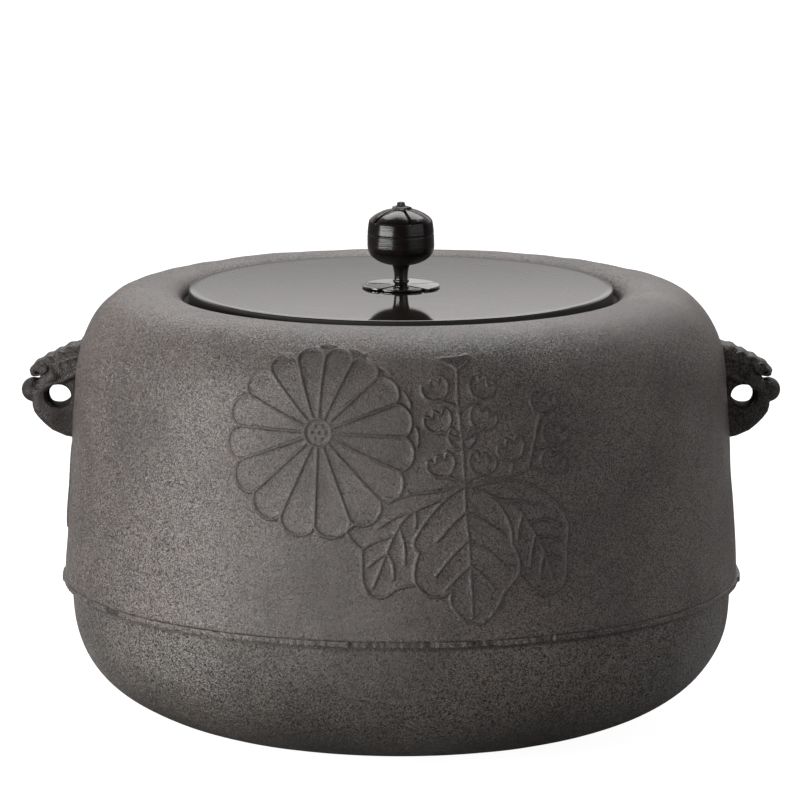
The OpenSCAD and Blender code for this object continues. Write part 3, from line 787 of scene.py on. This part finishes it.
# The lugs: two beast masks cast with their own roots and set in the wall, one at each side.
# A cross bore behind the nose takes the lifting ring. The mane lies in curls over a band of combed hair.
LUG_STEP = 0.35
LUG_LOW = np.array((122.6, -13.3, 111.6))
LUG_HIGH = np.array((152.6, 13.3, 154.6))
BORE_X, BORE_Z, BORE_R = 136.0545, 131.5, 4.5
BORE_WEAR_FROM = 2.5
BORE_WEAR = 0.8
BORE_SHADE = 0.9
BORE_SHADE_OVER = 0.6
PEG_IN_X, PEG_OUT_X, PEG_R, PEG_RISE = 123.45, 131.0, 3.5, 11.2
JAW_OUTLINE = ((127.5, 113.3), (134.0, 114.6), (139.2, 117.0), (142.2, 119.6), (144.5, 122.0), (146.4, 124.6),
               (147.1, 127.2), (147.0, 132.0), (144.5, 136.5), (141.0, 140.5), (127.5, 147.0))
JAW_TAPER_Z, JAW_TAPER = 126.0, 0.10
CHEEK_HALF = 6.5
CHEEK_PLACE, CHEEK_BULGE, CHEEK_SPREAD = (139.0, 123.0), 0.7, 20.0
MANE_OUTLINE = ((125.4, 153.1), (132.5, 150.8), (137.7, 148.4), (142.5, 146.0), (146.1, 143.5), (148.2, 141.3),
                (147.5, 139.9), (144.5, 140.8), (138.0, 143.9), (125.4, 147.9))
MANE_HALF, MANE_TAPER, MANE_SLOPE, MANE_EDGE_FALL = 9.9, 0.20, 0.65, 0.36
HAIR_OUTLINE = ((125.8, 148.5), (138.0, 144.6), (144.5, 141.4), (143.6, 138.4), (139.5, 138.0), (134.0, 139.4),
                (125.8, 141.5))
HAIR_HALF, HAIR_TAPER = 8.3, 0.14
TAPER_X = 130.0
HAIR_LOCKS = ((129.0, 144.7), (132.4, 143.9), (135.8, 142.9), (139.0, 141.6), (142.0, 140.0))
LOCK_SIZE, LOCK_SINK, LOCK_LEAN = (1.0, 0.8, 1.9), 0.6, 0.5
CURL_ROWS = ((131.4, 149.7), (135.7, 147.7), (140.0, 145.6), (144.0, 143.2))
CURL_R = 1.75
CURL_PITCH = 4.7
CURL_OVER = 0.4
EYE = (144.0, 141.6)
EYE_HALF = (2.9, 1.35)
EYE_SLOPE = -0.46
EYE_LINE, EYE_OVER = 0.42, 0.5
NOSE = (146.65, 0.0, 133.05)
NOSE_SIZE = (4.9, 5.6, 4.9)
NOSE_FOLD = ((144.4, 2.6, 134.8), (138.4, 6.0, 139.0), 1.9)
HAIR_FOLD = ((145.0, 5.2, 132.6), (128.6, 7.2, 140.9), 1.2)


def gap_to_outline(x, z, outline):
    """How far points of a plane lie outside a closed outline, and below zero within it."""
    outline = np.asarray(outline, float)
    nearest = np.full(np.broadcast(x, z).shape, np.inf)
    within = np.zeros(nearest.shape, bool)
    for (x0, z0), (x1, z1) in zip(outline, np.roll(outline, -1, 0)):
        run_x, run_z = x1 - x0, z1 - z0
        share = (((x - x0) * run_x + (z - z0) * run_z) / (run_x ** 2 + run_z ** 2)).clip(0.0, 1.0)
        nearest = np.minimum(nearest, np.hypot(x - x0 - share * run_x, z - z0 - share * run_z))
        if z0 != z1:
            within ^= ((z0 > z) != (z1 > z)) & (x < run_x * (z - z0) / run_z + x0)
    return np.where(within, -nearest, nearest)


def melted(first, second, soft):
    """Two forms joined by a fillet."""
    share = (0.5 + 0.5 * (second - first) / soft).clip(0.0, 1.0)
    return second + (first - second) * share - soft * share * (1.0 - share)


def trimmed(first, second, soft):
    """What two forms share, with its edges rounded."""
    return -melted(-first, -second, soft)


def egg(x, y, z, centre, size):
    """An egg shape of three half-widths about a centre."""
    away = np.sqrt(sum(((at - c) / s) ** 2 for at, c, s in zip((x, y, z), centre, size)))
    return (away - 1.0) * min(size)


def rod(x, y, z, start, end, radius):
    """A round-ended rod between two points."""
    start, run = np.array(start), np.array(end) - np.array(start)
    share = ((x - start[0]) * run[0] + (y - start[1]) * run[1] + (z - start[2]) * run[2]) / (run @ run)
    share = share.clip(0.0, 1.0)
    gap = [at - s - share * r for at, s, r in zip((x, y, z), start, run)]
    return np.sqrt(gap[0] ** 2 + gap[1] ** 2 + gap[2] ** 2) - radius


def mane_reach(x, z):
    """Half the width of the mane, which narrows upwards and towards the nose."""
    edge_x, edge_z = MANE_OUTLINE[-1]
    above_edge = z - edge_z + MANE_EDGE_FALL * (x - edge_x)
    return MANE_HALF - MANE_TAPER * (x - TAPER_X) - MANE_SLOPE * np.maximum(above_edge, 0.0)


def hair_reach(x):
    """Half the width of the band of hair, which narrows towards the nose."""
    return HAIR_HALF - HAIR_TAPER * (x - TAPER_X)


def grid(low, high, step):
    """The three coordinates of a block of sample points."""
    axes = [np.arange(a, b, step) for a, b in zip(low, high)]
    return axes[0][:, None, None], axes[1][None, :, None], axes[2][None, None, :]


def without_crumbs(points, faces):
    """The largest connected part of a skin, without the crumbs that float beside it."""
    part = np.arange(len(points))
    while True:
        lowest = part[faces].min(1)
        joined = part.copy()
        for corner in faces.T:
            np.minimum.at(joined, corner, lowest)
        joined = joined[joined]
        if np.array_equal(joined, part):
            break
        part = joined
    kept = part == np.bincount(part).argmax()
    number = np.cumsum(kept) - 1
    return points[kept], [number[faces[kept[faces[:, 0]]]]]


def skin_of(field, low, step):
    """Points and faces of the surface at which a sampled form begins, one point in each cell that it crosses."""
    cells = tuple(n - 1 for n in field.shape)
    total, count = np.zeros((*cells, 3)), np.zeros(cells)
    index = np.indices(cells)
    crossings = []
    for axis in range(3):
        start = np.moveaxis(np.moveaxis(field, axis, 0)[:-1], 0, axis)
        end = np.moveaxis(np.moveaxis(field, axis, 0)[1:], 0, axis)
        crossed = (start < 0) != (end < 0)
        share = np.where(crossed, start / np.where(crossed, start - end, 1.0), 0.0)
        crossings.append((crossed, start < 0))
        sides = [a for a in range(3) if a != axis]
        for first in (0, 1):
            for second in (0, 1):
                part = [slice(None)] * 3
                part[sides[0]] = slice(first, first + cells[sides[0]])
                part[sides[1]] = slice(second, second + cells[sides[1]])
                hit = crossed[tuple(part)]
                count += hit
                total[..., axis] += hit * (index[axis] + share[tuple(part)])
                total[..., sides[0]] += hit * (index[sides[0]] + first)
                total[..., sides[1]] += hit * (index[sides[1]] + second)
    used = count > 0
    number = np.full(cells, -1)
    number[used] = np.arange(used.sum())
    points = np.asarray(low) + step * total[used] / count[used][:, None]
    quads = []
    for axis, (crossed, start_within) in enumerate(crossings):
        place = np.argwhere(crossed)
        sides = [a for a in range(3) if a != axis]
        place = place[(place[:, sides[0]] > 0) & (place[:, sides[1]] > 0)
                      & (place[:, sides[0]] < cells[sides[0]]) & (place[:, sides[1]] < cells[sides[1]])]
        ring = []
        for first, second in ((-1, -1), (0, -1), (0, 0), (-1, 0)):
            cell = place.copy()
            cell[:, sides[0]] += first
            cell[:, sides[1]] += second
            ring.append(number[tuple(cell.T)])
        faces = np.stack(ring, -1)
        turn_over = start_within[tuple(place.T)] ^ (axis == 1)
        faces[turn_over] = faces[turn_over][:, ::-1]
        quads.append(faces)
    return without_crumbs(points, np.concatenate(quads))


x, y, z = grid(LUG_LOW, LUG_HIGH, LUG_STEP)
side = np.abs(y)
from_cheek = (x - CHEEK_PLACE[0]) ** 2 + (z - CHEEK_PLACE[1]) ** 2
jaw_half = CHEEK_HALF - JAW_TAPER * (JAW_TAPER_Z - z).clip(0.0) + CHEEK_BULGE * np.exp(-from_cheek / CHEEK_SPREAD)
mask = trimmed(gap_to_outline(x, z, JAW_OUTLINE), side - jaw_half, 3.2)
hair = trimmed(gap_to_outline(x, z, HAIR_OUTLINE), side - hair_reach(x), 1.6)
for lock_x, lock_z in HAIR_LOCKS:
    lean = x - lock_x - LOCK_LEAN * (z - lock_z)
    lock_place = (0.0, hair_reach(lock_x) - LOCK_SINK, lock_z)
    hair = melted(hair, egg(lean, side, z, lock_place, LOCK_SIZE), 0.6)
mask = melted(mask, hair, 1.2)
mane_half = mane_reach(x, z)
mane = trimmed(gap_to_outline(x, z, MANE_OUTLINE), side - mane_half, 2.0)
for row_number, (curl_x, curl_z) in enumerate(CURL_ROWS):
    curl_shift = CURL_PITCH / 2 if row_number % 2 else 0.0
    curl_y = np.abs((side + curl_shift + CURL_PITCH / 2) % CURL_PITCH - CURL_PITCH / 2)
    curl = np.sqrt((x - curl_x) ** 2 + curl_y ** 2 + (z - curl_z) ** 2) - CURL_R
    curl = trimmed(curl, side - mane_reach(curl_x, curl_z) - CURL_OVER, 0.6)
    mane = melted(mane, curl, 1.4)
mask = melted(mask, mane, 0.7)
eye_run = math.hypot(1.0, EYE_SLOPE)
eye_along = ((x - EYE[0]) + EYE_SLOPE * (z - EYE[1])) / eye_run
eye_up = ((z - EYE[1]) - EYE_SLOPE * (x - EYE[0])) / eye_run
eye_ring = np.abs(np.hypot(eye_along / EYE_HALF[0], eye_up / EYE_HALF[1]) - 1.0) * EYE_HALF[1] - EYE_LINE
mask = melted(mask, np.maximum(eye_ring, side - mane_half - EYE_OVER), 0.35)
mask = melted(mask, egg(x, y, z, NOSE, NOSE_SIZE), 0.9)
for fold, fillet in ((NOSE_FOLD, 1.6), (HAIR_FOLD, 0.9)):
    mask = melted(mask, rod(x, side, z, *fold), fillet)
worn = (side - BORE_WEAR_FROM).clip(0.0) / (CHEEK_HALF - BORE_WEAR_FROM)
bore_gap = np.hypot((x - BORE_X - BORE_WEAR * worn) / (1.0 + BORE_WEAR / BORE_R * worn), z - BORE_Z) - BORE_R
mask = trimmed(mask, -bore_gap, 0.5)
for peg_rise in (-PEG_RISE, PEG_RISE):
    peg_round = np.sqrt(y ** 2 + (z - BORE_Z - peg_rise) ** 2) - PEG_R
    mask = melted(mask, np.maximum(peg_round, np.maximum(PEG_IN_X - x, x - PEG_OUT_X)), 0.2)
lug_points, lug_faces = skin_of(mask, LUG_LOW, LUG_STEP)
lug_iron = iron("lug_iron", (0.023, 0.0195, 0.0185), (0.047, 0.041, 0.038), (0.043, 0.035, 0.031),
                grains=2000.0, shine=0.28, pitting=0.1, gloss=0.95, tilt=0.35, contrast=0.55)
# Painted shade in the cross bore of each lug and just round its mouth.
in_bore = np.hypot(lug_points[:, 0] - BORE_X, lug_points[:, 2] - BORE_Z) < BORE_R + BORE_SHADE_OVER
for lug_name, lug_side in (("left", -1.0), ("right", 1.0)):
    lug_piece = make_piece("beast_lug_" + lug_name, lug_points * (lug_side, 1.0, 1.0), lug_faces, lug_iron,
                           "kettle", "iron_lug", ["lug_" + lug_name])
    mark(lug_piece, "inside", BORE_SHADE * in_bore)

# The sounding plates: five offcuts of iron, hammered flat, that lie free at one end on the floor of the bottom.
# Each is held at its other end by a pad of lacquer putty, and they hum as the water boils.
PLATES = 5
PLATE_SIZE = np.array((14.0, 26.0, 1.8))
PLATE_LIFT = 5.0
PLATE_STEP = 0.4
PLATE_SPARE = 1.5
DENTS, DENT_DEPTH = 6, 0.12
PLATE_WAVE = 0.3
PAD_R, PAD_T, PAD_BULGE, PAD_CENTRE_R = 4.6, 1.2, 0.7, 2.0
PAD_COLUMNS = 40
plate_iron = iron("plate_iron", (0.040, 0.034, 0.030), (0.075, 0.063, 0.055), (0.085, 0.055, 0.038),
                  grains=700.0, shine=0.5, depth=0.00035)


def set_down(points, node, lift):
    """Turns a form made about the origin to face outwards, and sets it at a node's place and height."""
    low, high = box_of(node)
    middle = (low + high) / 2
    turn = math.atan2(middle.y, middle.x)
    sine, cosine = math.sin(turn), math.cos(turn)
    spin = np.array(((cosine, sine, 0.0), (-sine, cosine, 0.0), (0.0, 0.0, 1.0)))
    return points @ spin + (middle.x, middle.y, lift)


plate_half = PLATE_SIZE / 2
plate_low = -plate_half - PLATE_SPARE
px, py, pz = grid(plate_low, plate_half + PLATE_SPARE, PLATE_STEP)
pad_turn = np.linspace(0.0, math.pi, 9)
pad_r = np.concatenate([[PAD_CENTRE_R], PAD_R + PAD_BULGE * np.sin(pad_turn), [PAD_CENTRE_R]])
pad_z = np.concatenate([[0.0], PAD_T * (1 - np.cos(pad_turn)) / 2, [PAD_T]])
pad_columns = np.arange(PAD_COLUMNS) * 2 * math.pi / PAD_COLUMNS
for plate in range(1, PLATES + 1):
    chance = np.random.default_rng(40 + plate)
    dents = sum(DENT_DEPTH * np.sin(chance.uniform(0.2, 0.7) * px + chance.uniform(0.2, 0.7) * py
                                    + chance.uniform(0, 6.3)) for _ in range(DENTS))
    plate_side = np.abs(px) - plate_half[0] + PLATE_WAVE * np.sin(0.5 * py + plate)
    blank = trimmed(plate_side, np.abs(py) - plate_half[1], 1.2)
    chip = trimmed(blank, np.abs(pz - dents) - plate_half[2], 0.6)
    chip_points, chip_faces = skin_of(chip, plate_low, PLATE_STEP)
    plate_node = f"sounding_plate_{plate}"
    make_piece(f"singing_plate_{plate}", set_down(chip_points, plate_node, PLATE_LIFT + plate_half[2]),
               chip_faces, plate_iron, "kettle", "iron_plate", [plate_node])
    pad_wobble = 1.0 + 0.05 * np.sin(3 * pad_columns + plate) + 0.03 * np.sin(7 * pad_columns)
    pad_height = np.repeat(pad_z[:, None], PAD_COLUMNS, 1)
    pad_points, pad_faces = turned(pad_r[:, None] * pad_wobble, pad_height, ring=False)
    pad_node = f"plate_putty_{plate}"
    make_piece(f"plate_pad_{plate}", set_down(pad_points, pad_node, PLATE_LIFT - PAD_T), pad_faces,
               seam_lacquer, "kettle", "putty", [pad_node])

# The lid: a flat cast bronze disc with a turned edge and a rim below, dropped into the mouth.
# It is patinated almost black and rubbed with lacquer, so it shines like a dark mirror at a low angle.
lid_low, lid_high = box_of("lid_plate")
LID_R = lid_high.x
LID_TOP_Z = lid_high.z
LID_LOW_Z = lid_low.z
LID_T = 2.4
LID_RIM_T = 3.0
LID_BEVEL = 0.5
LID_EASE = 0.35
LID_STEP = 2.5
LID_COLUMNS = 320
LID_SIDE_DULL = 0.7
TANG_R = 2.2
LID_BORE_R = TANG_R + 0.06

# Old bronze: a near-black patina with paler, rubbed clouds, and how dull each part is.
bronze_tone, given, results = shader_group(
    "bronze_tone", {"Dark": GREY, "Rubbed": GREY, "Cloud": 60.0, "Dull": 0.3, "Bright": 0.2},
    {"Color": COLOUR, "Roughness": FLOAT})
rubbing = eased(noise(bronze_tone, given["Cloud"], 4.0, 0.6), 0.35, 0.70)
feed(bronze_tone, results, {
    "Color": mixed(rubbing, given["Dark"], given["Rubbed"]),
    "Roughness": between(rubbing, given["Dull"], given["Bright"]),
})

# The marks of the lathe: fine rings at each distance from the axis, or at each height, and a little tooth.
lathe_lines, given, results = shader_group(
    "lathe_lines", {"Lines": 900.0, "Tooth": 0.3}, {"Round": FLOAT, "Level": FLOAT})
squares = [reckon("MULTIPLY", at, at) for at in (place_on(lathe_lines, axis) for axis in "XY")]
from_axis = reckon("SQRT", reckon("ADD", *squares))
tooth = reckon("MULTIPLY", noise(lathe_lines, 1500.0, 2.0), given["Tooth"])
for title, place_along in (("Round", from_axis), ("Level", place_on(lathe_lines, "Z"))):
    ring_feed = {"W": place_along, "Scale": given["Lines"], "Detail": 2.0}
    rings = wire(lathe_lines, "ShaderNodeTexNoise", ring_feed, noise_dimensions="1D")[0]
    feed(lathe_lines, results, {title: reckon("ADD", rings, tooth)})


def bronze(name, dark, rubbed, dull, bright, cloud,
           lines=900.0, depth=0.00002, tooth=0.3, cut="Level", shine=0.5):
    """Patinated bronze of its own tones, dullness and lathe marks, cut round the axis or level by level.
    Depth is that of the marks, in metres."""
    material, tree, shader = new_material(name)
    tones = {"Dark": (*dark, 1.0), "Rubbed": (*rubbed, 1.0), "Cloud": cloud, "Dull": dull, "Bright": bright}
    tone = wire(tree, "ShaderNodeGroup", tones, node_tree=bronze_tone)
    lathe = wire(tree, "ShaderNodeGroup", {"Lines": lines, "Tooth": tooth}, node_tree=lathe_lines)
    feed(tree, shader, {
        "Base Color": tone["Color"],
        "Roughness": tone["Roughness"],
        "Normal": wire(tree, "ShaderNodeBump", {"Height": lathe[cut], "Distance": depth})[0],
        "Specular IOR Level": shine,
    })
    return material


def dull_facing(material, low, high, dull):
    """Makes a material dull on faces that look up by low or less, and leaves it as it is from high on."""
    tree = material.node_tree
    gloss = tree.nodes["Principled BSDF"].inputs["Roughness"]
    normal = wire(tree, "ShaderNodeNewGeometry")["Normal"]
    upward = wire(tree, "ShaderNodeSeparateXYZ", {0: normal})["Z"]
    dull_share = eased(upward, low, high, 1.0, 0.0)
    tree.links.new(between(dull_share, gloss.links[0].from_socket, dull), gloss)


lid_bronze = bronze("lid_bronze", (0.012, 0.010, 0.009), (0.022, 0.018, 0.016), dull=0.055, bright=0.04,
                    cloud=40.0, lines=500.0, depth=0.000004, tooth=1.0, cut="Round", shine=0.75)
dull_facing(lid_bronze, 0.3, 0.6, LID_SIDE_DULL)
lid_outline = np.array([
    (LID_BORE_R, LID_TOP_Z - LID_T), (LID_R - LID_RIM_T, LID_TOP_Z - LID_T), (LID_R - LID_RIM_T, LID_LOW_Z),
    (LID_R, LID_LOW_Z), (LID_R, LID_TOP_Z - LID_BEVEL), (LID_R - LID_BEVEL, LID_TOP_Z), (LID_BORE_R, LID_TOP_Z),
])
lid_outline = spaced(rounded(lid_outline, LID_EASE), LID_STEP)
make_piece("lid_disc", *turned(*even_rows(lid_outline, LID_COLUMNS)),
           lid_bronze, "lid", "lid_bronze", ["lid_plate"])

# The seat: a thin bronze flower of five petals, cut with a saw and cupped, between the lid and the stem.
# Each petal tilts a little over the slit beside it.
seat_high = box_of("knob_seat")[1]
SEAT_R = seat_high.x
SEAT_TOP_Z = seat_high.z
SEAT_T = 0.95
SEAT_STEP = 0.22
SEAT_TURN = 38.0
SEAT_SPARE, SEAT_BELOW, SEAT_ABOVE = 1.0, 0.8, 2.8
LOBES = 5
LOBE_ANGLE = 360.0 / LOBES
SLIT_HALF = 0.80
SLIT_FROM = 4.6
PETAL_TILT = 0.12
PETAL_ROUND = 1.5
SEAT_COAT = {"Coat Weight": 0.5, "Coat IOR": 1.6, "Coat Roughness": 0.05}


def share_of_lobe(degrees, first):
    """Where a direction lies between two slits of the seat or grooves of the fruit, from 0 to 1, going right.
    First is the direction of one of them. Both are counted from the front."""
    return ((degrees - first) % LOBE_ANGLE) / LOBE_ANGLE


seat_corner = SEAT_R + SEAT_SPARE
seat_block_low = np.array((-seat_corner, -seat_corner, LID_TOP_Z - SEAT_BELOW))
x, y, z = grid(seat_block_low, (seat_corner, seat_corner, LID_TOP_Z + SEAT_ABOVE), SEAT_STEP)
reach = np.hypot(x, y)
share = share_of_lobe(np.degrees(np.arctan2(x, -y)), SEAT_TURN)
lean = 2 * share - 1
from_slit = reach * np.sin(np.radians(LOBE_ANGLE) * np.minimum(share, 1 - share))
seat_mid = LID_TOP_Z + SEAT_T / 2 + (reach / SEAT_R) ** 2 * PETAL_TILT * (1.0 + lean)
petal = trimmed(reach - SEAT_R + PETAL_ROUND * np.abs(lean) ** 7, np.abs(z - seat_mid) - SEAT_T / 2, 0.35)
slit = np.minimum(SLIT_HALF * (0.5 + 0.5 * reach / SEAT_R) - from_slit, reach - SLIT_FROM)
petal = np.maximum(trimmed(petal, slit, 0.25), TANG_R - reach)
seat_bronze = bronze("seat_bronze", (0.008, 0.006, 0.005), (0.018, 0.014, 0.012), dull=0.14, bright=0.08,
                     cloud=150.0, lines=700.0, depth=0.000006, tooth=0.6, cut="Round", shine=1.0)
feed(seat_bronze.node_tree, seat_bronze.node_tree.nodes["Principled BSDF"], SEAT_COAT)
seat_points, seat_faces = skin_of(petal, seat_block_low, SEAT_STEP)
make_piece("petal_seat", seat_points, seat_faces, seat_bronze, "knob", "seat_bronze", ["knob_seat"])

# The stem: turned bronze with a ring collar and a flared neck. Its tang goes down through the seat and the lid,
# is peened over the washer there, and goes up into the fruit.
stem_low, stem_high = box_of("knob_stem")
fruit_low, fruit_high = box_of("knob_fruit")
washer_low, washer_high = box_of("knob_washer")
FRUIT_Z, FRUIT_TOP_Z, FRUIT_R = fruit_low.z, fruit_high.z, fruit_high.x
HEAD_R, HEAD_BEVEL = 3.8, 0.8
STEM_AXIS_R = 0.6
COLLAR_R, COLLAR_H, COLLAR_LOW = 3.2, 2.0, 0.8
NECK_HALF, FLARE_R = 2.7, 3.8
STEM_NR = 1.4
STEM_EASE = 0.4
STEM_STEP = 0.8
STEM_COLUMNS = 96
stem_bronze = bronze("stem_bronze", (0.005, 0.004, 0.0035), (0.012, 0.009, 0.007), dull=0.20, bright=0.13,
                     cloud=300.0, lines=1500.0, tooth=0.2)
stem_outline = np.concatenate([
    [(STEM_AXIS_R, stem_low.z), (HEAD_R - HEAD_BEVEL, stem_low.z), (HEAD_R, stem_low.z + HEAD_BEVEL)],
    [(HEAD_R, washer_low.z), (TANG_R, washer_low.z), (TANG_R, SEAT_TOP_Z), (NECK_HALF, SEAT_TOP_Z)],
    [(NECK_HALF, SEAT_TOP_Z + COLLAR_LOW), (COLLAR_R, SEAT_TOP_Z + COLLAR_LOW + 0.1)],
    [(COLLAR_R, SEAT_TOP_Z + COLLAR_H)],
    bow(FLARE_R, FRUIT_Z, NECK_HALF, SEAT_TOP_Z + COLLAR_H, STEM_NR, 1.0, 16)[::-1],
    [(TANG_R, FRUIT_Z + 0.3), (TANG_R, stem_high.z), (STEM_AXIS_R, stem_high.z)],
])
stem_outline = spaced(rounded(stem_outline, STEM_EASE, ring=False), STEM_STEP)
make_piece("turned_stem", *turned(*even_rows(stem_outline, STEM_COLUMNS), ring=False),
           stem_bronze, "knob", "knob_bronze", ["knob_stem"])

# The fruit: a cast bronze persimmon of five lobes, turned smooth and lacquered black.
# A groove runs down between each two lobes and dies out on the side.
LOBE_TURN = 17.0
BELLY_Z, DRUM_Z = FRUIT_Z + 8.0, FRUIT_Z + 10.7
DOME_R, DOME_Z = 12.75, FRUIT_TOP_Z - 4.8
CAP_R = 4.2
CROWN_R = CAP_R - 0.3
FRUIT_STEP = 0.25
FRUIT_COLUMNS = 360
RING_Z, RING_DEPTH, RING_HALF = FRUIT_Z + 12.2, 0.10, 0.28
GROOVE_TOP_HALF, GROOVE_LOW_HALF, GROOVE_DEPTH = 0.32, 0.55, 1.15
VALLEY_DEPTH, VALLEY_SPREAD = 0.25, 0.30
FRUIT_UNDER_DULL = 0.6
fruit_bronze = bronze("fruit_bronze", (0.0045, 0.0032, 0.0028), (0.010, 0.007, 0.006), dull=0.21, bright=0.15,
                      cloud=220.0, lines=1300.0, depth=0.00005, tooth=0.6, shine=0.27)
dull_facing(fruit_bronze, -0.7, -0.3, FRUIT_UNDER_DULL)
drum_share = np.linspace(0.1, 0.98, 20)[:, None]
drum_line = np.concatenate([FRUIT_R + (DOME_R - FRUIT_R) * drum_share ** 2,
                            DRUM_Z + (DOME_Z - DRUM_Z) * drum_share], 1)
fruit_outline = spaced(np.concatenate([
    [(TANG_R + 0.1, FRUIT_Z)],
    bow(FLARE_R, FRUIT_Z, FRUIT_R, BELLY_Z, 1.2, 0.85, 24),
    [(FRUIT_R, DRUM_Z)],
    drum_line,
    bow(CROWN_R, FRUIT_TOP_Z, DOME_R, DOME_Z, 1.35, 1.45, 28)[::-1],
    [(0.8, FRUIT_TOP_Z)],
]), FRUIT_STEP)
lobe_share = share_of_lobe(np.arange(FRUIT_COLUMNS) * 360.0 / FRUIT_COLUMNS, LOBE_TURN)
from_groove = np.radians(LOBE_ANGLE) * np.minimum(lobe_share, 1 - lobe_share)
fruit_r, fruit_h = fruit_outline[:, :1], fruit_outline[:, 1:]
on_skin = fruit_r > CROWN_R
ring_sink = RING_DEPTH * np.exp(-((fruit_h - RING_Z) / RING_HALF) ** 2)
groove_half = np.interp(fruit_h, (DOME_Z, FRUIT_TOP_Z), (GROOVE_LOW_HALF, GROOVE_TOP_HALF))
groove_fade = ((fruit_h - DOME_Z + 0.4) / 0.8).clip(0.0, 1.0) * on_skin
groove = GROOVE_DEPTH * groove_fade * np.exp(-(fruit_r * from_groove / groove_half) ** 2)
valley_fade = ((fruit_h - FRUIT_Z - 4.0) / 8.0).clip(0.0, 1.0) * on_skin
valley = VALLEY_DEPTH * valley_fade * np.exp(-(from_groove / VALLEY_SPREAD) ** 2)
fruit_along = np.gradient(fruit_outline, axis=0)
fruit_along = fruit_along / np.hypot(fruit_along[:, 0], fruit_along[:, 1]).clip(1e-9)[:, None]
sink = groove + valley + ring_sink
fruit_radius = fruit_r - sink * fruit_along[:, 1:]
fruit_height = fruit_h + sink * fruit_along[:, :1]
make_piece("lobed_fruit", *turned(fruit_radius, fruit_height, ring=False),
           fruit_bronze, "knob", "knob_bronze", ["knob_fruit"])

# The cap: the dried calyx of the fruit with the nub of its stalk, a small rough casting pinned on top.
# Its bronze was never turned, so it is paler and duller than the fruit.
cap_high = box_of("knob_cap")[1]
CAP_STEP = 0.12
CAP_T = 1.2
CAP_SINK = 0.95
CAP_SCALLOP = 0.9
CAP_SPARE, CAP_BELOW, CAP_ABOVE = 0.8, 1.6, 0.6
CAP_ROUGH, CAP_FINE_ROUGH = 0.10, 0.05
NUB_R, NUB_TAPER = 1.75, 0.25
cap_corner = CAP_R + CAP_SPARE
cap_block_low = np.array((-cap_corner, -cap_corner, FRUIT_TOP_Z - CAP_BELOW))
x, y, z = grid(cap_block_low, (cap_corner, cap_corner, cap_high.z + CAP_ABOVE), CAP_STEP)
reach = np.hypot(x, y)
cap_lean = np.abs(2 * share_of_lobe(np.degrees(np.arctan2(x, -y)), LOBE_TURN) - 1)
rough = CAP_ROUGH * np.sin(7.1 * x + 2.0 * y) * np.sin(6.3 * y - 1.7 * z)
rough = rough + CAP_FINE_ROUGH * np.sin(8.0 * x - 6.5 * y + 4.0 * z)
cap_edge = CAP_R - CAP_SCALLOP + CAP_SCALLOP * cap_lean ** 2
cap_top = FRUIT_TOP_Z + CAP_T * (1.0 - 0.5 * (reach / CAP_R) ** 2)
calyx = trimmed(reach - cap_edge, z - cap_top, 0.35)
nub = trimmed(reach - NUB_R + NUB_TAPER * (z - FRUIT_TOP_Z - CAP_T), z - cap_high.z, 0.5)
calyx = np.maximum(melted(calyx, nub, 0.6) + rough, FRUIT_TOP_Z - CAP_SINK - z)
cap_bronze = bronze("cap_bronze", (0.010, 0.009, 0.008), (0.060, 0.054, 0.047), dull=0.55, bright=0.38,
                    cloud=900.0, depth=0.00006, tooth=1.2)
cap_points, cap_faces = skin_of(calyx, cap_block_low, CAP_STEP)
make_piece("calyx_cap", cap_points, cap_faces, cap_bronze, "knob", "knob_bronze", ["knob_cap"])

# The washer: a small brass disc under the lid, turned to a loose fit on the tang.
# The end of the tang is peened over it, which holds the whole knob.
WASHER_R = washer_high.x
WASHER_BORE_R = TANG_R + 0.02
WASHER_EASE = 0.3
WASHER_STEP = 0.8
WASHER_COLUMNS = 72
washer_brass = bronze("washer_brass", (0.16, 0.10, 0.040), (0.30, 0.20, 0.085), dull=0.45, bright=0.30,
                      cloud=250.0, depth=0.00003, cut="Round")
washer_brass.node_tree.nodes["Principled BSDF"].inputs["Metallic"].default_value = 1.0
washer_outline = np.array([(WASHER_BORE_R, washer_low.z), (WASHER_R, washer_low.z),
                           (WASHER_R, washer_high.z), (WASHER_BORE_R, washer_high.z)])
washer_outline = spaced(rounded(washer_outline, WASHER_EASE), WASHER_STEP)
make_piece("rivet_washer", *turned(*even_rows(washer_outline, WASHER_COLUMNS)),
           washer_brass, "knob", "washer_brass", ["knob_washer"])
